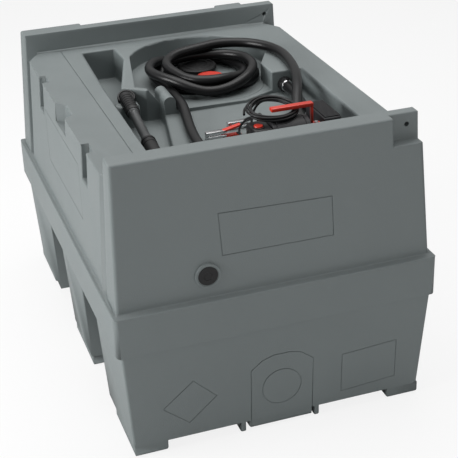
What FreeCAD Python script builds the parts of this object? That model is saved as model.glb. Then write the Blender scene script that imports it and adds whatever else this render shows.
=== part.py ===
import FreeCAD, Part
import math
import os

# Portable diesel tank with a pump kit in its top recess.
# Millimetres, +Z up, X to the right along the front end, Y away from the front.
# The origin is at the middle of the footprint, at the level of the feet.

# Faces that the rest is placed from: the deck's edges, the end panels' inner faces and two levels
DECK_LEFT_X = -373.0
DECK_RIGHT_X = 373.0
FRONT_INNER_Y = -455.0
REAR_INNER_Y = 450.0
DECK_Z = 688.0
RIM_Z1 = 395.0

# Tank body
WALL = 8.0
SIDE_WALL = 30.0
DECK_THICK = 8.0
BLOCK_LEAN = 15.0
BLOCK_SETBACK = 12.0
BLOCK_FRONT_CHAMFER = 44.0
BLOCK_REAR_CHAMFER = 56.0
GROOVE_DEPTH = 33.0
FRONT_PANEL_FOOT = 86.0
REAR_PANEL_FOOT = 91.0
RIM_HEIGHT = 103.0
RIM_LEDGE_X = 11.5
RIM_LEDGE_Y = 21.0
RIM_Z0 = RIM_Z1 - RIM_HEIGHT
RIM_X0 = DECK_LEFT_X - BLOCK_LEAN - BLOCK_SETBACK
RIM_X1 = DECK_RIGHT_X + BLOCK_LEAN + BLOCK_SETBACK
RIM_Y0 = FRONT_INNER_Y - FRONT_PANEL_FOOT - RIM_LEDGE_Y
RIM_Y1 = REAR_INNER_Y + REAR_PANEL_FOOT + RIM_LEDGE_Y
MID_X = (RIM_X0 + RIM_X1) / 2
MID_Y = (RIM_Y0 + RIM_Y1) / 2
LEG_SETBACK_X = 12.0
LEG_SETBACK_Y = 4.0
LEG_DRAFT_X = 17.0
LEG_DRAFT_Y = 13.0

# Fork channels, feet and ribs
FORK_CENTRE_Y = MID_Y - 22.0
FORK_SPACING = 390.0
FORK_WIDTH_TOP = 155.0
FORK_DRAFT = 17.5
FOOT_HEIGHT = 30.0
FOOT_WIDTH = 84.0
FRONT_FOOT_SETBACK = 51.0
REAR_FOOT_SETBACK = 95.0
RIB_X = 96.0
RIB_WIDTH = 14.0
ARCH_HALF_WIDTH = 82.0
ARCH_DROP = 20.0

# End panels, with an ear and a pin hole for a lid at the right
PANEL_TOP_Z = DECK_Z + 57.0
PANEL_LEAN_X = 15.5
PANEL_TOP_DEPTH = 53.0
EAR_X0 = DECK_RIGHT_X - 73.0
EAR_SETBACK = 24.0
EAR_Z = PANEL_TOP_Z - 67.0
PIN_X = DECK_RIGHT_X - 28.0
PIN_Z = PANEL_TOP_Z - 29.0
PIN_R = 6.0
PIN_DEPTH = 24.0
PAD_GAP_X0 = DECK_LEFT_X + 173.0
PAD_GAP_X1 = DECK_RIGHT_X - 167.0
REAR_PAD_X1 = DECK_RIGHT_X - 87.0
REAR_SETBACK = 20.0
PLUG_X = DECK_LEFT_X + 204.0
PLUG_Z = RIM_Z1 + 55.0
PLUG_R = 31.0
PLUG_PROUD = 2.0

# Slots and lock notch in the left side of the block
SLOT_Y = (REAR_INNER_Y - 212.0, FRONT_INNER_Y + 193.0)
SLOT_WIDTH = 54.0
SLOT_DEPTH = 19.0
SLOT_Z0 = DECK_Z - 88.0
LOCK_Y = REAR_INNER_Y - 455.0
LOCK_OUTER = 114.0
LOCK_INNER = 74.0
LOCK_DEPTH = 23.0
LOCK_Z0 = DECK_Z - 48.0
LIP_HEIGHT = 5.0
LIP_WIDTH = 7.0

# Recess in the deck
WELL_FLOOR_Z = DECK_Z - 50.0
BAY_FLOOR_Z = DECK_Z - 60.0
TRENCH_FLOOR_Z = DECK_Z - 88.0
SKIN = 6.0
WELL_C = (DECK_RIGHT_X - 303.0, REAR_INNER_Y - 220.0)
WELL_R = 197.0
WELL_MOUTH = 87.0
NECK_LEFT = ((DECK_LEFT_X + 248.0, REAR_INNER_Y - 135.0), (DECK_LEFT_X + 182.0, REAR_INNER_Y - 361.0))
NECK_RIGHT = ((DECK_LEFT_X + 216.0, REAR_INNER_Y - 371.0),
              (WELL_C[0] - math.sqrt(WELL_R ** 2 - WELL_MOUTH ** 2), WELL_C[1] + WELL_MOUTH))
SADDLE_X0 = DECK_LEFT_X + 242.0
SADDLE_X1 = DECK_LEFT_X + 273.0
SADDLE_Y0 = REAR_INNER_Y - 404.0
SADDLE_Y1 = REAR_INNER_Y - 390.0
SADDLE_TOE = (DECK_LEFT_X + 213.0, REAR_INNER_Y - 382.0)
SADDLE_HEEL = 4.0
SADDLE_DROP = 40.0
STEP_Y = REAR_INNER_Y - 445.0
BLOCK_CORNER = (DECK_RIGHT_X - 162.0, REAR_INNER_Y - 408.0)
BLOCK_SHOULDER = (BLOCK_CORNER[0], REAR_INNER_Y - 325.0)
STEP_X1 = BLOCK_CORNER[0] - 80.0
BAY_RIGHT_X = DECK_RIGHT_X - 78.0
BAY_EDGE = ((SADDLE_X1, STEP_Y), (SADDLE_X1 - 40.0, STEP_Y - 201.0), (SADDLE_X1 - 50.0, STEP_Y - 305.0))
TRENCH_REAR_Y = REAR_INNER_Y - 43.0
TRENCH_LEFT = ((DECK_LEFT_X + 131.0, FRONT_INNER_Y), (DECK_LEFT_X + 142.0, NECK_LEFT[1][1]),
               (DECK_LEFT_X + 155.0, TRENCH_REAR_Y))
TRENCH_REAR_RIGHT = (DECK_LEFT_X + 245.0, TRENCH_REAR_Y)
PEG_X1 = SADDLE_X1 + 32.0
PEG_Y1 = STEP_Y + 90.0
PEG_TOP_Z = DECK_Z - 12.0
PEG_FLAT = 0.5

# Filler and gauge, on the floor of the hose well
FILLER_C = (WELL_C[0] + 1.0, WELL_C[1] + 32.0)
NECK_R = 46.0
NECK_BORE = 40.0
NECK_HEIGHT = 16.0
CAP_R = 55.0
CAP_HEIGHT = 14.0
FIT = 0.4
GAUGE_C = (WELL_C[0] + 3.0, WELL_C[1] - 83.0)
GAUGE_R = 40.0
GAUGE_STEP = 3.0
GAUGE_BASE = 19.0
GAUGE_CAP = 8.0

# Pump, on a plate that stands on the floor of the bay
PUMP_X = DECK_RIGHT_X - 353.0
PUMP_Y = FRONT_INNER_Y + 89.0
PLATE_LENGTH = 228.0
PLATE_WIDTH = 141.0
PLATE_THICK = 4.0
MOTOR_R = 40.0
MOTOR_LENGTH = 96.0
MOTOR_Y = PUMP_Y + 36.0
MOTOR_X0 = PUMP_X + 42.0
MOTOR_X1 = MOTOR_X0 + MOTOR_LENGTH
MOTOR_FOOT = 1.5
SADDLE_BLOCK_END = 14.0
SADDLE_BLOCK_HALF = 24.0
SADDLE_BLOCK_SINK = 20.0
SWITCH_BOX_X0 = PUMP_X - 5.0
SWITCH_BOX_Y0 = PUMP_Y + 4.0
SWITCH_BOX_WIDTH = 64.0
SWITCH_BOX_Z1 = BAY_FLOOR_Z + 76.0
SWITCH_C = (PUMP_X + 13.0, PUMP_Y + 30.0)
SWITCH_R = 11.0
SWITCH_HEIGHT = 5.0
SWITCH_CLEAR = 1.0
SWITCH_SUNK = 3.0
SWITCH_WELL = 5.5
CASE_LENGTH = 42.0
CASE_X1 = MOTOR_X1 + CASE_LENGTH
CASE_Y0 = PUMP_Y - 2.0
CASE_Y1 = PUMP_Y + 80.0
CASE_Z1 = BAY_FLOOR_Z + 48.0
COVER_LENGTH = 46.0
COVER_X1 = CASE_X1 + COVER_LENGTH
COVER_Y0 = PUMP_Y + 26.0
COVER_Y1 = PUMP_Y + 144.0
COVER_Z1 = BAY_FLOOR_Z + 74.0
STEM_X = CASE_X1 - 14.0
STEM_Y = CASE_Y1 - 37.0
STEM_R = 5.0
STEM_PROUD = 3.0
VALVE_R = 12.0
VALVE_HEIGHT = 6.0
LEVER_THICK = 4.0
LEVER_WIDTH = 14.0
LEVER_HUB_X0 = STEM_X - 14.0
LEVER_X0 = STEM_X - 117.0
LEVER_Z1 = BAY_FLOOR_Z + 110.0
HUB_R = 10.0
OUTLET_X = CASE_X1 - 17.0
OUTLET_Z = BAY_FLOOR_Z + 29.0
OUTLET_LENGTH = 22.0
OUTLET_R = 17.0
INLET_X = COVER_X1 - 20.0
INLET_Z = BAY_FLOOR_Z + 27.0
INLET_LENGTH = 26.0
UNION_X = BLOCK_CORNER[0] + 36.0
UNION_Z = BAY_FLOOR_Z + 24.0
UNION_NUT_R = 20.0
UNION_NUT_LENGTH = 18.0
UNION_RING_R = 16.0
UNION_RING_LENGTH = 8.0

# Coils of hose and cable, as rings of the coils' outer shape
HOSE_R = 13.5
COIL_C = (WELL_C[0] - 8.0, WELL_C[1] - 50.0)
COIL_R_OUT = 150.0
COIL_R_IN = 94.0
COIL_Z0 = WELL_FLOOR_Z + 0.3
COIL_Z1 = WELL_FLOOR_Z + 70.0
COIL_CAP_GAP = 5.0
CABLE_R = 3.0
CABLE_COIL_C = (MOTOR_X0 + 28.0, MOTOR_Y + 38.0)
CABLE_COIL_OUT = 76.0
CABLE_COIL_IN = 56.0
CABLE_COIL_THICK = 17.0

# Nozzle, lying in the trench on an axis that falls to the front, and the cradle under its rear end
NOZZLE_REAR = (DECK_LEFT_X + 187.0, REAR_INNER_Y - 381.0, DECK_Z - 19.0)
NOZZLE_FRONT = (DECK_LEFT_X + 168.0, REAR_INNER_Y - 788.0, DECK_Z - 54.0)
SLEEVE_R = 18.0
SLEEVE_LENGTH = 96.0
END_CAP_LENGTH = 12.0
END_CAP_STEP = 1.0
SPOUT_R = 12.0
SPOUT_END = 258.0
COLLAR_R = 19.0
COLLAR_LENGTH = 26.0
GRIP_R = 21.0
FERRULE_R = 17.0
FERRULE_LENGTH = 24.0
CRADLE_X0 = DECK_LEFT_X + 151.0
CRADLE_X1 = SADDLE_TOE[0]
CRADLE_Y0 = REAR_INNER_Y - 432.0
CRADLE_Y1 = REAR_INNER_Y - 398.0
CRADLE_OPEN = 8.0

# Points of the hoses and leads
FEED_POINTS = [
    (183.0, -263.7, 657.0), (183.0, -208.0, 661.0), (204.0, -152.0, 676.0), (229.0, -96.0, 690.0),
    (252.0, -36.0, 699.0), (267.0, 30.0, 703.0), (277.0, 96.0, 703.5), (278.0, 158.0, 703.0),
    (262.0, 214.0, 702.0), (228.0, 260.0, 701.0), (182.0, 289.0, 697.0), (134.0, 303.0, 692.0),
]
TAIL_POINTS = [
    (-34.0, 122.0, 662.0), (-46.0, 62.0, 657.0), (-51.0, -2.0, 651.0), (-63.0, -68.0, 645.0),
    (-75.0, -134.0, 642.5), (-84.0, -200.0, 642.0), (-88.0, -262.0, 643.0), (-85.0, -316.0, 644.0),
    (-87.0, -360.0, 644.0), (-98.0, -396.0, 643.5), (-123.0, -424.0, 643.5), (-158.0, -433.0, 643.5),
    (-188.0, -416.0, 640.0), (-204.0, -388.0, 637.0),
]
SUCTION_POINTS = [
    (247.0, 15.7, 652.0), (247.0, -32.0, 652.0), (238.0, -84.0, 653.0), (226.0, -140.0, 655.0),
    (226.0, -195.7, 655.0),
]
LEAD_POINTS = [
    (38.0, -297.6, 664.0), (38.0, -270.0, 666.0), (42.0, -246.0, 682.0), (43.0, -236.0, 704.0),
]
RED_LEAD_POINTS = [
    (18.0, -312.0, 716.0), (4.0, -298.0, 703.0), (-2.0, -280.0, 685.0), (6.0, -262.0, 665.0),
    (20.0, -242.0, 649.0), (28.0, -222.0, 642.0), (27.0, -200.0, 638.0),
]
BLACK_LEAD_POINTS = [
    (54.0, -232.0, 716.0), (58.0, -210.0, 706.0), (68.0, -194.0, 688.0), (82.0, -182.0, 668.0),
    (94.0, -172.0, 650.0), (98.0, -158.0, 638.0),
]

# Battery clips, lying on the floor of the pump bay: place of the jaws' tip
CLIP_RED = (SADDLE_X1 + 47.0, STEP_Y - 197.0)
CLIP_BLACK = (SADDLE_X1 + 118.0, STEP_Y - 155.0)
CLIP_WIDTH = 14.0
JAW_LENGTH = 44.0
JAW_THICK = 3.0
TOE_LENGTH = 5.0
GRIP_LENGTH = 48.0
GRIP_THICK = 7.0
GRIP_OVERLAP = 6.0
CLIP_PIVOT_Z = 10.0
CLIP_SPREAD = 20.0

PARTS = "parts"
os.makedirs(PARTS, exist_ok=True)


def vec(*v):
    return FreeCAD.Vector(*v)


def save(name, shape):
    shape = shape.removeSplitter()
    solids = shape.Solids
    out = solids[0] if len(solids) == 1 else Part.makeCompound(solids)
    if not out.isValid() or not solids:
        raise ValueError(name + " is not a valid solid")
    out.exportStep(os.path.join(PARTS, name + ".step"))
    print(name, len(solids), round(out.Volume / 1e6, 4))
    return out


def box(x0, x1, y0, y1, z0, z1):
    return Part.makeBox(x1 - x0, y1 - y0, z1 - z0, vec(x0, y0, z0))


def ring_wire(points, z):
    return Part.makePolygon([vec(x, y, z) for x, y in list(points) + [points[0]]])


def prism(points, z0, z1):
    return Part.Face(ring_wire(points, z0)).extrude(vec(0, 0, z1 - z0))


def taper(low, high, z0, z1):
    return Part.makeLoft([ring_wire(low, z0), ring_wire(high, z1)], True, True)


def rect(x0, x1, y0, y1):
    return [(x0, y0), (x1, y0), (x1, y1), (x0, y1)]


def cylinder(radius, start, end):
    axis = vec(*end) - vec(*start)
    return Part.makeCylinder(radius, axis.Length, vec(*start), axis)


def fuse(shapes):
    return shapes[0].fuse(shapes[1:]) if len(shapes) > 1 else shapes[0]


def at_height(z):
    """Share of the way from the feet to the underside of the rim."""
    return z / RIM_Z0


# Lower body: three hollow legs across the tank, with two fork channels between them
def leg_rect(y0_top, y1_top, y0_draft, y1_draft, z, inset=0.0):
    lower = 1.0 - at_height(z)
    in_x = LEG_SETBACK_X + LEG_DRAFT_X * lower + inset
    return rect(RIM_X0 + in_x, RIM_X1 - in_x,
                y0_top + y0_draft * lower + inset, y1_top - y1_draft * lower - inset)


def foot_strips(y0, y1):
    """Feet, ribs and middle pad under a leg, as boxes between two Y values."""
    left = RIM_X0 + LEG_SETBACK_X + LEG_DRAFT_X
    right = RIM_X1 - LEG_SETBACK_X - LEG_DRAFT_X
    spans = [(left, left + FOOT_WIDTH), (right - FOOT_WIDTH, right)]
    for rib in (MID_X - RIB_X, MID_X + RIB_X):
        spans.append((rib - RIB_WIDTH / 2, rib + RIB_WIDTH / 2))
    strips = [box(x0, x1, y0, y1, 0, FOOT_HEIGHT) for x0, x1 in spans]
    strips.append(box(MID_X - ARCH_HALF_WIDTH, MID_X + ARCH_HALF_WIDTH, y0, y1,
                      FOOT_HEIGHT - ARCH_DROP, FOOT_HEIGHT))
    return strips


def leg(y0_top, y1_top, y0_draft, y1_draft):
    outer = taper(leg_rect(y0_top, y1_top, y0_draft, y1_draft, FOOT_HEIGHT),
                  leg_rect(y0_top, y1_top, y0_draft, y1_draft, RIM_Z0), FOOT_HEIGHT, RIM_Z0)
    inner = taper(leg_rect(y0_top, y1_top, y0_draft, y1_draft, FOOT_HEIGHT + WALL, WALL),
                  leg_rect(y0_top, y1_top, y0_draft, y1_draft, RIM_Z0, WALL),
                  FOOT_HEIGHT + WALL, RIM_Z0)
    return outer.cut(inner)


fork_low = FORK_CENTRE_Y - FORK_SPACING / 2
fork_high = FORK_CENTRE_Y + FORK_SPACING / 2
half_fork = FORK_WIDTH_TOP / 2
front_y0 = RIM_Y0 + LEG_SETBACK_Y
front_y1 = fork_low - half_fork
middle_y0 = fork_low + half_fork
middle_y1 = fork_high - half_fork
rear_y0 = fork_high + half_fork
rear_y1 = RIM_Y1 - LEG_SETBACK_Y
save("front_leg", leg(front_y0, front_y1, LEG_DRAFT_Y, FORK_DRAFT))
save("middle_leg", leg(middle_y0, middle_y1, FORK_DRAFT, FORK_DRAFT))
save("rear_leg", leg(rear_y0, rear_y1, FORK_DRAFT, LEG_DRAFT_Y))
feet = foot_strips(front_y0 + LEG_DRAFT_Y, front_y1 - FORK_DRAFT - FRONT_FOOT_SETBACK)
feet += foot_strips(middle_y0 + FORK_DRAFT, middle_y1 - FORK_DRAFT)
feet += foot_strips(rear_y0 + FORK_DRAFT + REAR_FOOT_SETBACK, rear_y1 - LEG_DRAFT_Y)
save("feet", fuse(feet))

rim_in_x = RIM_LEDGE_X + WALL
rim_in_y = RIM_LEDGE_Y + WALL
rim = box(RIM_X0, RIM_X1, RIM_Y0, RIM_Y1, RIM_Z0, RIM_Z1)
rim = rim.cut(box(RIM_X0 + rim_in_x, RIM_X1 - rim_in_x, RIM_Y0 + rim_in_y, RIM_Y1 - rim_in_y, RIM_Z0, RIM_Z1))
# Corner shelves close the tank below the grooves between the block and the end panels
shelf_x = GROOVE_DEPTH + BLOCK_SETBACK + WALL
for y0, y1 in ((RIM_Y0 + rim_in_y, FRONT_INNER_Y + BLOCK_FRONT_CHAMFER + WALL),
               (REAR_INNER_Y - BLOCK_REAR_CHAMFER - WALL, RIM_Y1 - rim_in_y)):
    for x0, x1 in ((RIM_X0 + rim_in_x, RIM_X0 + shelf_x), (RIM_X1 - shelf_x, RIM_X1 - rim_in_x)):
        rim = rim.fuse(box(x0, x1, y0, y1, RIM_Z1 - WALL, RIM_Z1))
save("rim_band", rim)

reach = half_fork + WALL
save("channel_roofs", fuse([box(RIM_X0 + rim_in_x, RIM_X1 - rim_in_x, centre - reach, centre + reach,
                                RIM_Z0, RIM_Z0 + WALL) for centre in (fork_low, fork_high)]))


# End panels: hollow wedges that stand on the rim, open downwards into the tank
def panel_solid(inner_y, side, inset, z_top):
    """Wedge between the upright inner face and the leaning outer face; side is -1 in front."""
    rim_y = RIM_Y0 if side < 0 else RIM_Y1
    in_low = RIM_LEDGE_X + inset
    in_high = in_low + PANEL_LEAN_X
    out_low = rim_y - side * (RIM_LEDGE_Y + inset)
    out_high = inner_y + side * (PANEL_TOP_DEPTH - inset)
    near = inner_y + side * inset
    low = rect(RIM_X0 + in_low, RIM_X1 - in_low, min(near, out_low), max(near, out_low))
    high = rect(RIM_X0 + in_high, RIM_X1 - in_high, min(near, out_high), max(near, out_high))
    return taper(low, high, RIM_Z1, z_top)


def panel(inner_y, side):
    shell = panel_solid(inner_y, side, 0.0, PANEL_TOP_Z)
    cavity = panel_solid(inner_y, side, WALL, PANEL_TOP_Z)
    cavity = cavity.cut(box(RIM_X0, RIM_X1, RIM_Y0, RIM_Y1, EAR_Z - WALL, PANEL_TOP_Z + WALL))
    return shell.cut(cavity)


def beyond(inner_y, side, depth, x0, x1):
    """Block outside a panel from a given depth, above the ear's ledge."""
    face = inner_y + side * depth
    far = RIM_Y0 if side < 0 else RIM_Y1
    return box(x0, x1, min(face, far), max(face, far), EAR_Z, PANEL_TOP_Z + WALL)


front = panel(FRONT_INNER_Y, -1)
front = front.cut(beyond(FRONT_INNER_Y, -1, PANEL_TOP_DEPTH - EAR_SETBACK, EAR_X0, RIM_X1))
front = front.cut(cylinder(PIN_R, (PIN_X, FRONT_INNER_Y, PIN_Z), (PIN_X, RIM_Y0, PIN_Z)))
save("front_panel", front)

rear = panel(REAR_INNER_Y, 1)
for x0, x1 in ((PAD_GAP_X0, PAD_GAP_X1), (REAR_PAD_X1, RIM_X1)):
    rear = rear.cut(beyond(REAR_INNER_Y, 1, PANEL_TOP_DEPTH - REAR_SETBACK, x0, x1))
rear = rear.cut(cylinder(PIN_R, (PIN_X, REAR_INNER_Y, PIN_Z), (PIN_X, REAR_INNER_Y + PIN_DEPTH, PIN_Z)))
save("rear_panel", rear)


# Middle block: side walls with chamfered ends, slots and the lock notch
def block_outline(z, inset=0.0):
    """Plan of the left wall's outer face at a height, from the front panel to the rear one."""
    x = DECK_LEFT_X - BLOCK_LEAN * (DECK_Z - z) / (DECK_Z - RIM_Z1) + inset
    return [(x + GROOVE_DEPTH, FRONT_INNER_Y), (x, FRONT_INNER_Y + BLOCK_FRONT_CHAMFER),
            (x, REAR_INNER_Y - BLOCK_REAR_CHAMFER), (x + GROOVE_DEPTH, REAR_INNER_Y)]


def wall_ring(z):
    outer = block_outline(z)
    inner = block_outline(z, SIDE_WALL)
    return outer + inner[::-1]


def notches():
    cuts = []
    for y in SLOT_Y:
        cuts.append(box(RIM_X0, DECK_LEFT_X + SLOT_DEPTH, y - SLOT_WIDTH / 2, y + SLOT_WIDTH / 2,
                        SLOT_Z0, DECK_Z + WALL))
    x_in = DECK_LEFT_X + LOCK_DEPTH
    y0 = LOCK_Y - LOCK_OUTER / 2
    y1 = LOCK_Y + LOCK_OUTER / 2
    cuts.append(prism([(RIM_X0, y0), (DECK_LEFT_X, y0), (x_in, LOCK_Y - LOCK_INNER / 2),
                       (x_in, LOCK_Y + LOCK_INNER / 2), (DECK_LEFT_X, y1), (RIM_X0, y1)],
                      LOCK_Z0, DECK_Z + WALL))
    return cuts


under_deck = DECK_Z - DECK_THICK
side = taper(wall_ring(RIM_Z1), wall_ring(under_deck), RIM_Z1, under_deck)
save("right_wall", side.mirror(vec(MID_X, 0, 0), vec(1, 0, 0)))
for cut in notches():
    side = side.cut(cut)
save("left_wall", side)


# Recess: plan outlines of the hose well, the pump bay and the nozzle trench
def well_face():
    """Hose well: a round bowl whose right front corner is taken by the fitting block."""
    start = NECK_RIGHT[1]
    end = (WELL_C[0] + WELL_R, WELL_C[1])
    half_turn = math.atan2(start[1] - WELL_C[1], start[0] - WELL_C[0]) / 2
    mid = (WELL_C[0] + WELL_R * math.cos(half_turn), WELL_C[1] + WELL_R * math.sin(half_turn))
    arc = Part.Arc(vec(end[0], end[1], 0), vec(mid[0], mid[1], 0), vec(start[0], start[1], 0)).toShape()
    corners = [start, NECK_RIGHT[0], (SADDLE_X0, SADDLE_Y1), (SADDLE_X1, SADDLE_Y1), (SADDLE_X1, STEP_Y),
               (STEP_X1, STEP_Y), BLOCK_CORNER, BLOCK_SHOULDER, end]
    edges = [Part.makeLine(vec(p[0], p[1], 0), vec(q[0], q[1], 0)) for p, q in zip(corners, corners[1:])]
    return Part.Face(Part.Wire(edges + [arc]))


def polygon_face(points):
    return Part.Face(ring_wire(points, 0))


bay_points = [BAY_EDGE[0], BAY_EDGE[1], BAY_EDGE[2], (BAY_EDGE[2][0], FRONT_INNER_Y),
              (BAY_RIGHT_X, FRONT_INNER_Y), (BAY_RIGHT_X, BLOCK_CORNER[1]), BLOCK_CORNER,
              (STEP_X1, STEP_Y)]
trench_points = [TRENCH_LEFT[0], TRENCH_LEFT[1], TRENCH_LEFT[2], TRENCH_REAR_RIGHT, NECK_LEFT[0],
                 NECK_LEFT[1], NECK_RIGHT[0], (SADDLE_X0, SADDLE_Y1), (SADDLE_X1, SADDLE_Y1),
                 BAY_EDGE[0], BAY_EDGE[1], BAY_EDGE[2], (BAY_EDGE[2][0], FRONT_INNER_Y)]
regions = [("hose_well", well_face(), WELL_FLOOR_Z), ("pump_bay", polygon_face(bay_points), BAY_FLOOR_Z),
           ("nozzle_trench", polygon_face(trench_points), TRENCH_FLOOR_Z)]


def raised(face, z0, z1):
    body = face.extrude(vec(0, 0, z1 - z0))
    body.translate(vec(0, 0, z0))
    return body


air = fuse([raised(face, floor, DECK_Z + WALL) for name, face, floor in regions])
# The peg and the divider stand in the recess and reach down to the lowest floor
peg = box(SADDLE_X1, PEG_X1, STEP_Y, PEG_Y1, TRENCH_FLOOR_Z, PEG_TOP_Z)
crest = [e for e in peg.Edges if abs(e.BoundBox.ZMin - PEG_TOP_Z) < 1e-6 and e.BoundBox.XLength < 1e-6]
peg = peg.makeFillet((PEG_X1 - SADDLE_X1) / 2 - PEG_FLAT, crest)
tongue = prism([NECK_LEFT[0], NECK_LEFT[1], NECK_RIGHT[0], NECK_RIGHT[1]], TRENCH_FLOOR_Z, DECK_Z)
saddle = prism([NECK_LEFT[1], NECK_RIGHT[0], (SADDLE_X0, SADDLE_Y1), (SADDLE_X1, SADDLE_Y1),
                (SADDLE_X1, SADDLE_Y0), (SADDLE_X0 - SADDLE_HEEL, SADDLE_Y0), SADDLE_TOE],
               TRENCH_FLOOR_Z, DECK_Z)
vee = Part.Face(Part.makePolygon([vec(SADDLE_X0, SADDLE_Y0 - WALL, DECK_Z + 1.0),
                                  vec(SADDLE_X1, SADDLE_Y0 - WALL, DECK_Z - SADDLE_DROP),
                                  vec(SADDLE_X1 + 1.0, SADDLE_Y0 - WALL, DECK_Z + 1.0),
                                  vec(SADDLE_X0, SADDLE_Y0 - WALL, DECK_Z + 1.0)]))
saddle = saddle.cut(vee.extrude(vec(0, SADDLE_Y1 - SADDLE_Y0 + 2 * WALL, 0)))
divider = fuse([tongue, saddle, peg])
save("recess_divider", divider)

skins = []
for name, face, floor in regions:
    grown = raised(face.makeOffset2D(SKIN, 0, False, False, True), floor - SKIN, under_deck)
    skin = grown.cut(air).cut(divider)
    if name == "hose_well":
        skin = skin.cut(cylinder(NECK_BORE, FILLER_C + (floor - WALL - SKIN,), FILLER_C + (DECK_Z,)))
    skin = skin.cut(box(RIM_X0, RIM_X1, RIM_Y0, FRONT_INNER_Y, RIM_Z1, PANEL_TOP_Z))
    for other in skins:
        skin = skin.cut(other)
    skins.append(skin)
    save(name, skin)

# Deck: the top plate around the recess, with a low lip along the rear panel
left_edge = block_outline(under_deck)
right_edge = [(2 * MID_X - x, y) for x, y in left_edge][::-1]
deck = prism(left_edge + right_edge, under_deck, DECK_Z).cut(air).cut(divider)
for cut in notches():
    deck = deck.cut(cut)
deck = deck.fuse(box(DECK_LEFT_X + GROOVE_DEPTH, DECK_RIGHT_X - GROOVE_DEPTH,
                     REAR_INNER_Y - LIP_WIDTH, REAR_INNER_Y, DECK_Z, DECK_Z + LIP_HEIGHT))
save("deck", deck)


# Nozzle holder: a moulded cradle across the trench
def along(distance):
    """Point on the nozzle's axis at a distance from its rear end."""
    a = vec(*NOZZLE_REAR)
    b = vec(*NOZZLE_FRONT)
    return tuple(a + (b - a).normalize() * distance)


nozzle_length = (vec(*NOZZLE_FRONT) - vec(*NOZZLE_REAR)).Length
cradle = box(CRADLE_X0, CRADLE_X1, CRADLE_Y0, CRADLE_Y1, TRENCH_FLOOR_Z, NOZZLE_REAR[2] - CRADLE_OPEN)
cradle = cradle.cut(cylinder(SLEEVE_R + FIT, along(-END_CAP_LENGTH), along(SLEEVE_LENGTH)))
save("nozzle_cradle", cradle)

save("nozzle_end_cap", cylinder(SLEEVE_R - END_CAP_STEP, along(0), along(END_CAP_LENGTH)))
save("nozzle_sleeve", cylinder(SLEEVE_R, along(END_CAP_LENGTH), along(SLEEVE_LENGTH)))
save("nozzle_spout", cylinder(SPOUT_R, along(SLEEVE_LENGTH), along(SPOUT_END)))
save("nozzle_collar", cylinder(COLLAR_R, along(SPOUT_END), along(SPOUT_END + COLLAR_LENGTH)))
save("nozzle_body", cylinder(GRIP_R, along(SPOUT_END + COLLAR_LENGTH), along(nozzle_length)))
save("hose_ferrule", cylinder(FERRULE_R, along(nozzle_length), along(nozzle_length + FERRULE_LENGTH)))

# Filler neck and cap, and the level gauge beside it
neck_top = WELL_FLOOR_Z + NECK_HEIGHT
neck = cylinder(NECK_R, FILLER_C + (WELL_FLOOR_Z,), FILLER_C + (neck_top,))
save("filler_neck", neck.cut(cylinder(NECK_BORE, FILLER_C + (WELL_FLOOR_Z,), FILLER_C + (neck_top,))))
cap_top = neck_top + FIT + CAP_HEIGHT / 2
cap_base = cap_top - CAP_HEIGHT
cap = cylinder(CAP_R, FILLER_C + (cap_base,), FILLER_C + (cap_top,))
cap = cap.cut(cylinder(NECK_R + FIT, FILLER_C + (cap_base,), FILLER_C + (neck_top + FIT,)))
save("filler_cap", cap)
gauge_top = WELL_FLOOR_Z + GAUGE_BASE
save("gauge_base", cylinder(GAUGE_R, GAUGE_C + (WELL_FLOOR_Z,), GAUGE_C + (gauge_top,)))
save("gauge_cover", cylinder(GAUGE_R - GAUGE_STEP, GAUGE_C + (gauge_top,), GAUGE_C + (gauge_top + GAUGE_CAP,)))


# Round plug in the front panel, seated on its leaning face
def panel_face_y(z):
    """Y of the front panel's outer face at a height."""
    low = RIM_Y0 + RIM_LEDGE_Y
    high = FRONT_INNER_Y - PANEL_TOP_DEPTH
    return low + (high - low) * (z - RIM_Z1) / (PANEL_TOP_Z - RIM_Z1)


lean = math.atan2(panel_face_y(PANEL_TOP_Z) - panel_face_y(RIM_Z1), PANEL_TOP_Z - RIM_Z1)
plug_at = vec(PLUG_X, panel_face_y(PLUG_Z), PLUG_Z)
plug_out = vec(0, -math.cos(lean), math.sin(lean))
save("side_plug", Part.makeCylinder(PLUG_R, PLUG_PROUD, plug_at, plug_out))

# Pump: base plate, motor, casing and ribbed cover
plate_top = BAY_FLOOR_Z + PLATE_THICK
save("pump_plate", box(PUMP_X, PUMP_X + PLATE_LENGTH, PUMP_Y, PUMP_Y + PLATE_WIDTH, BAY_FLOOR_Z, plate_top))
motor_z = plate_top + MOTOR_FOOT + MOTOR_R
motor = cylinder(MOTOR_R, (MOTOR_X0, MOTOR_Y, motor_z), (MOTOR_X1, MOTOR_Y, motor_z))
saddle_block = box(MOTOR_X0 + SADDLE_BLOCK_END, MOTOR_X1 - SADDLE_BLOCK_END, MOTOR_Y - SADDLE_BLOCK_HALF,
                   MOTOR_Y + SADDLE_BLOCK_HALF, plate_top, motor_z - SADDLE_BLOCK_SINK)
save("pump_motor", motor.fuse(saddle_block))
switch_box = box(SWITCH_BOX_X0, MOTOR_X0, SWITCH_BOX_Y0, SWITCH_BOX_Y0 + SWITCH_BOX_WIDTH,
                 plate_top, SWITCH_BOX_Z1)
switch_cut = cylinder(SWITCH_R + SWITCH_CLEAR, SWITCH_C + (SWITCH_BOX_Z1 - SWITCH_WELL,),
                      SWITCH_C + (SWITCH_BOX_Z1,))
save("switch_box", switch_box.cut(switch_cut))
save("power_switch", cylinder(SWITCH_R, SWITCH_C + (SWITCH_BOX_Z1 - SWITCH_SUNK,),
                              SWITCH_C + (SWITCH_BOX_Z1 + SWITCH_HEIGHT,)))
outlet_end = CASE_Y1 + OUTLET_LENGTH
inlet_end = COVER_Y1 + INLET_LENGTH
save("pump_case", box(MOTOR_X1, CASE_X1, CASE_Y0, CASE_Y1, plate_top, CASE_Z1))
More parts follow.
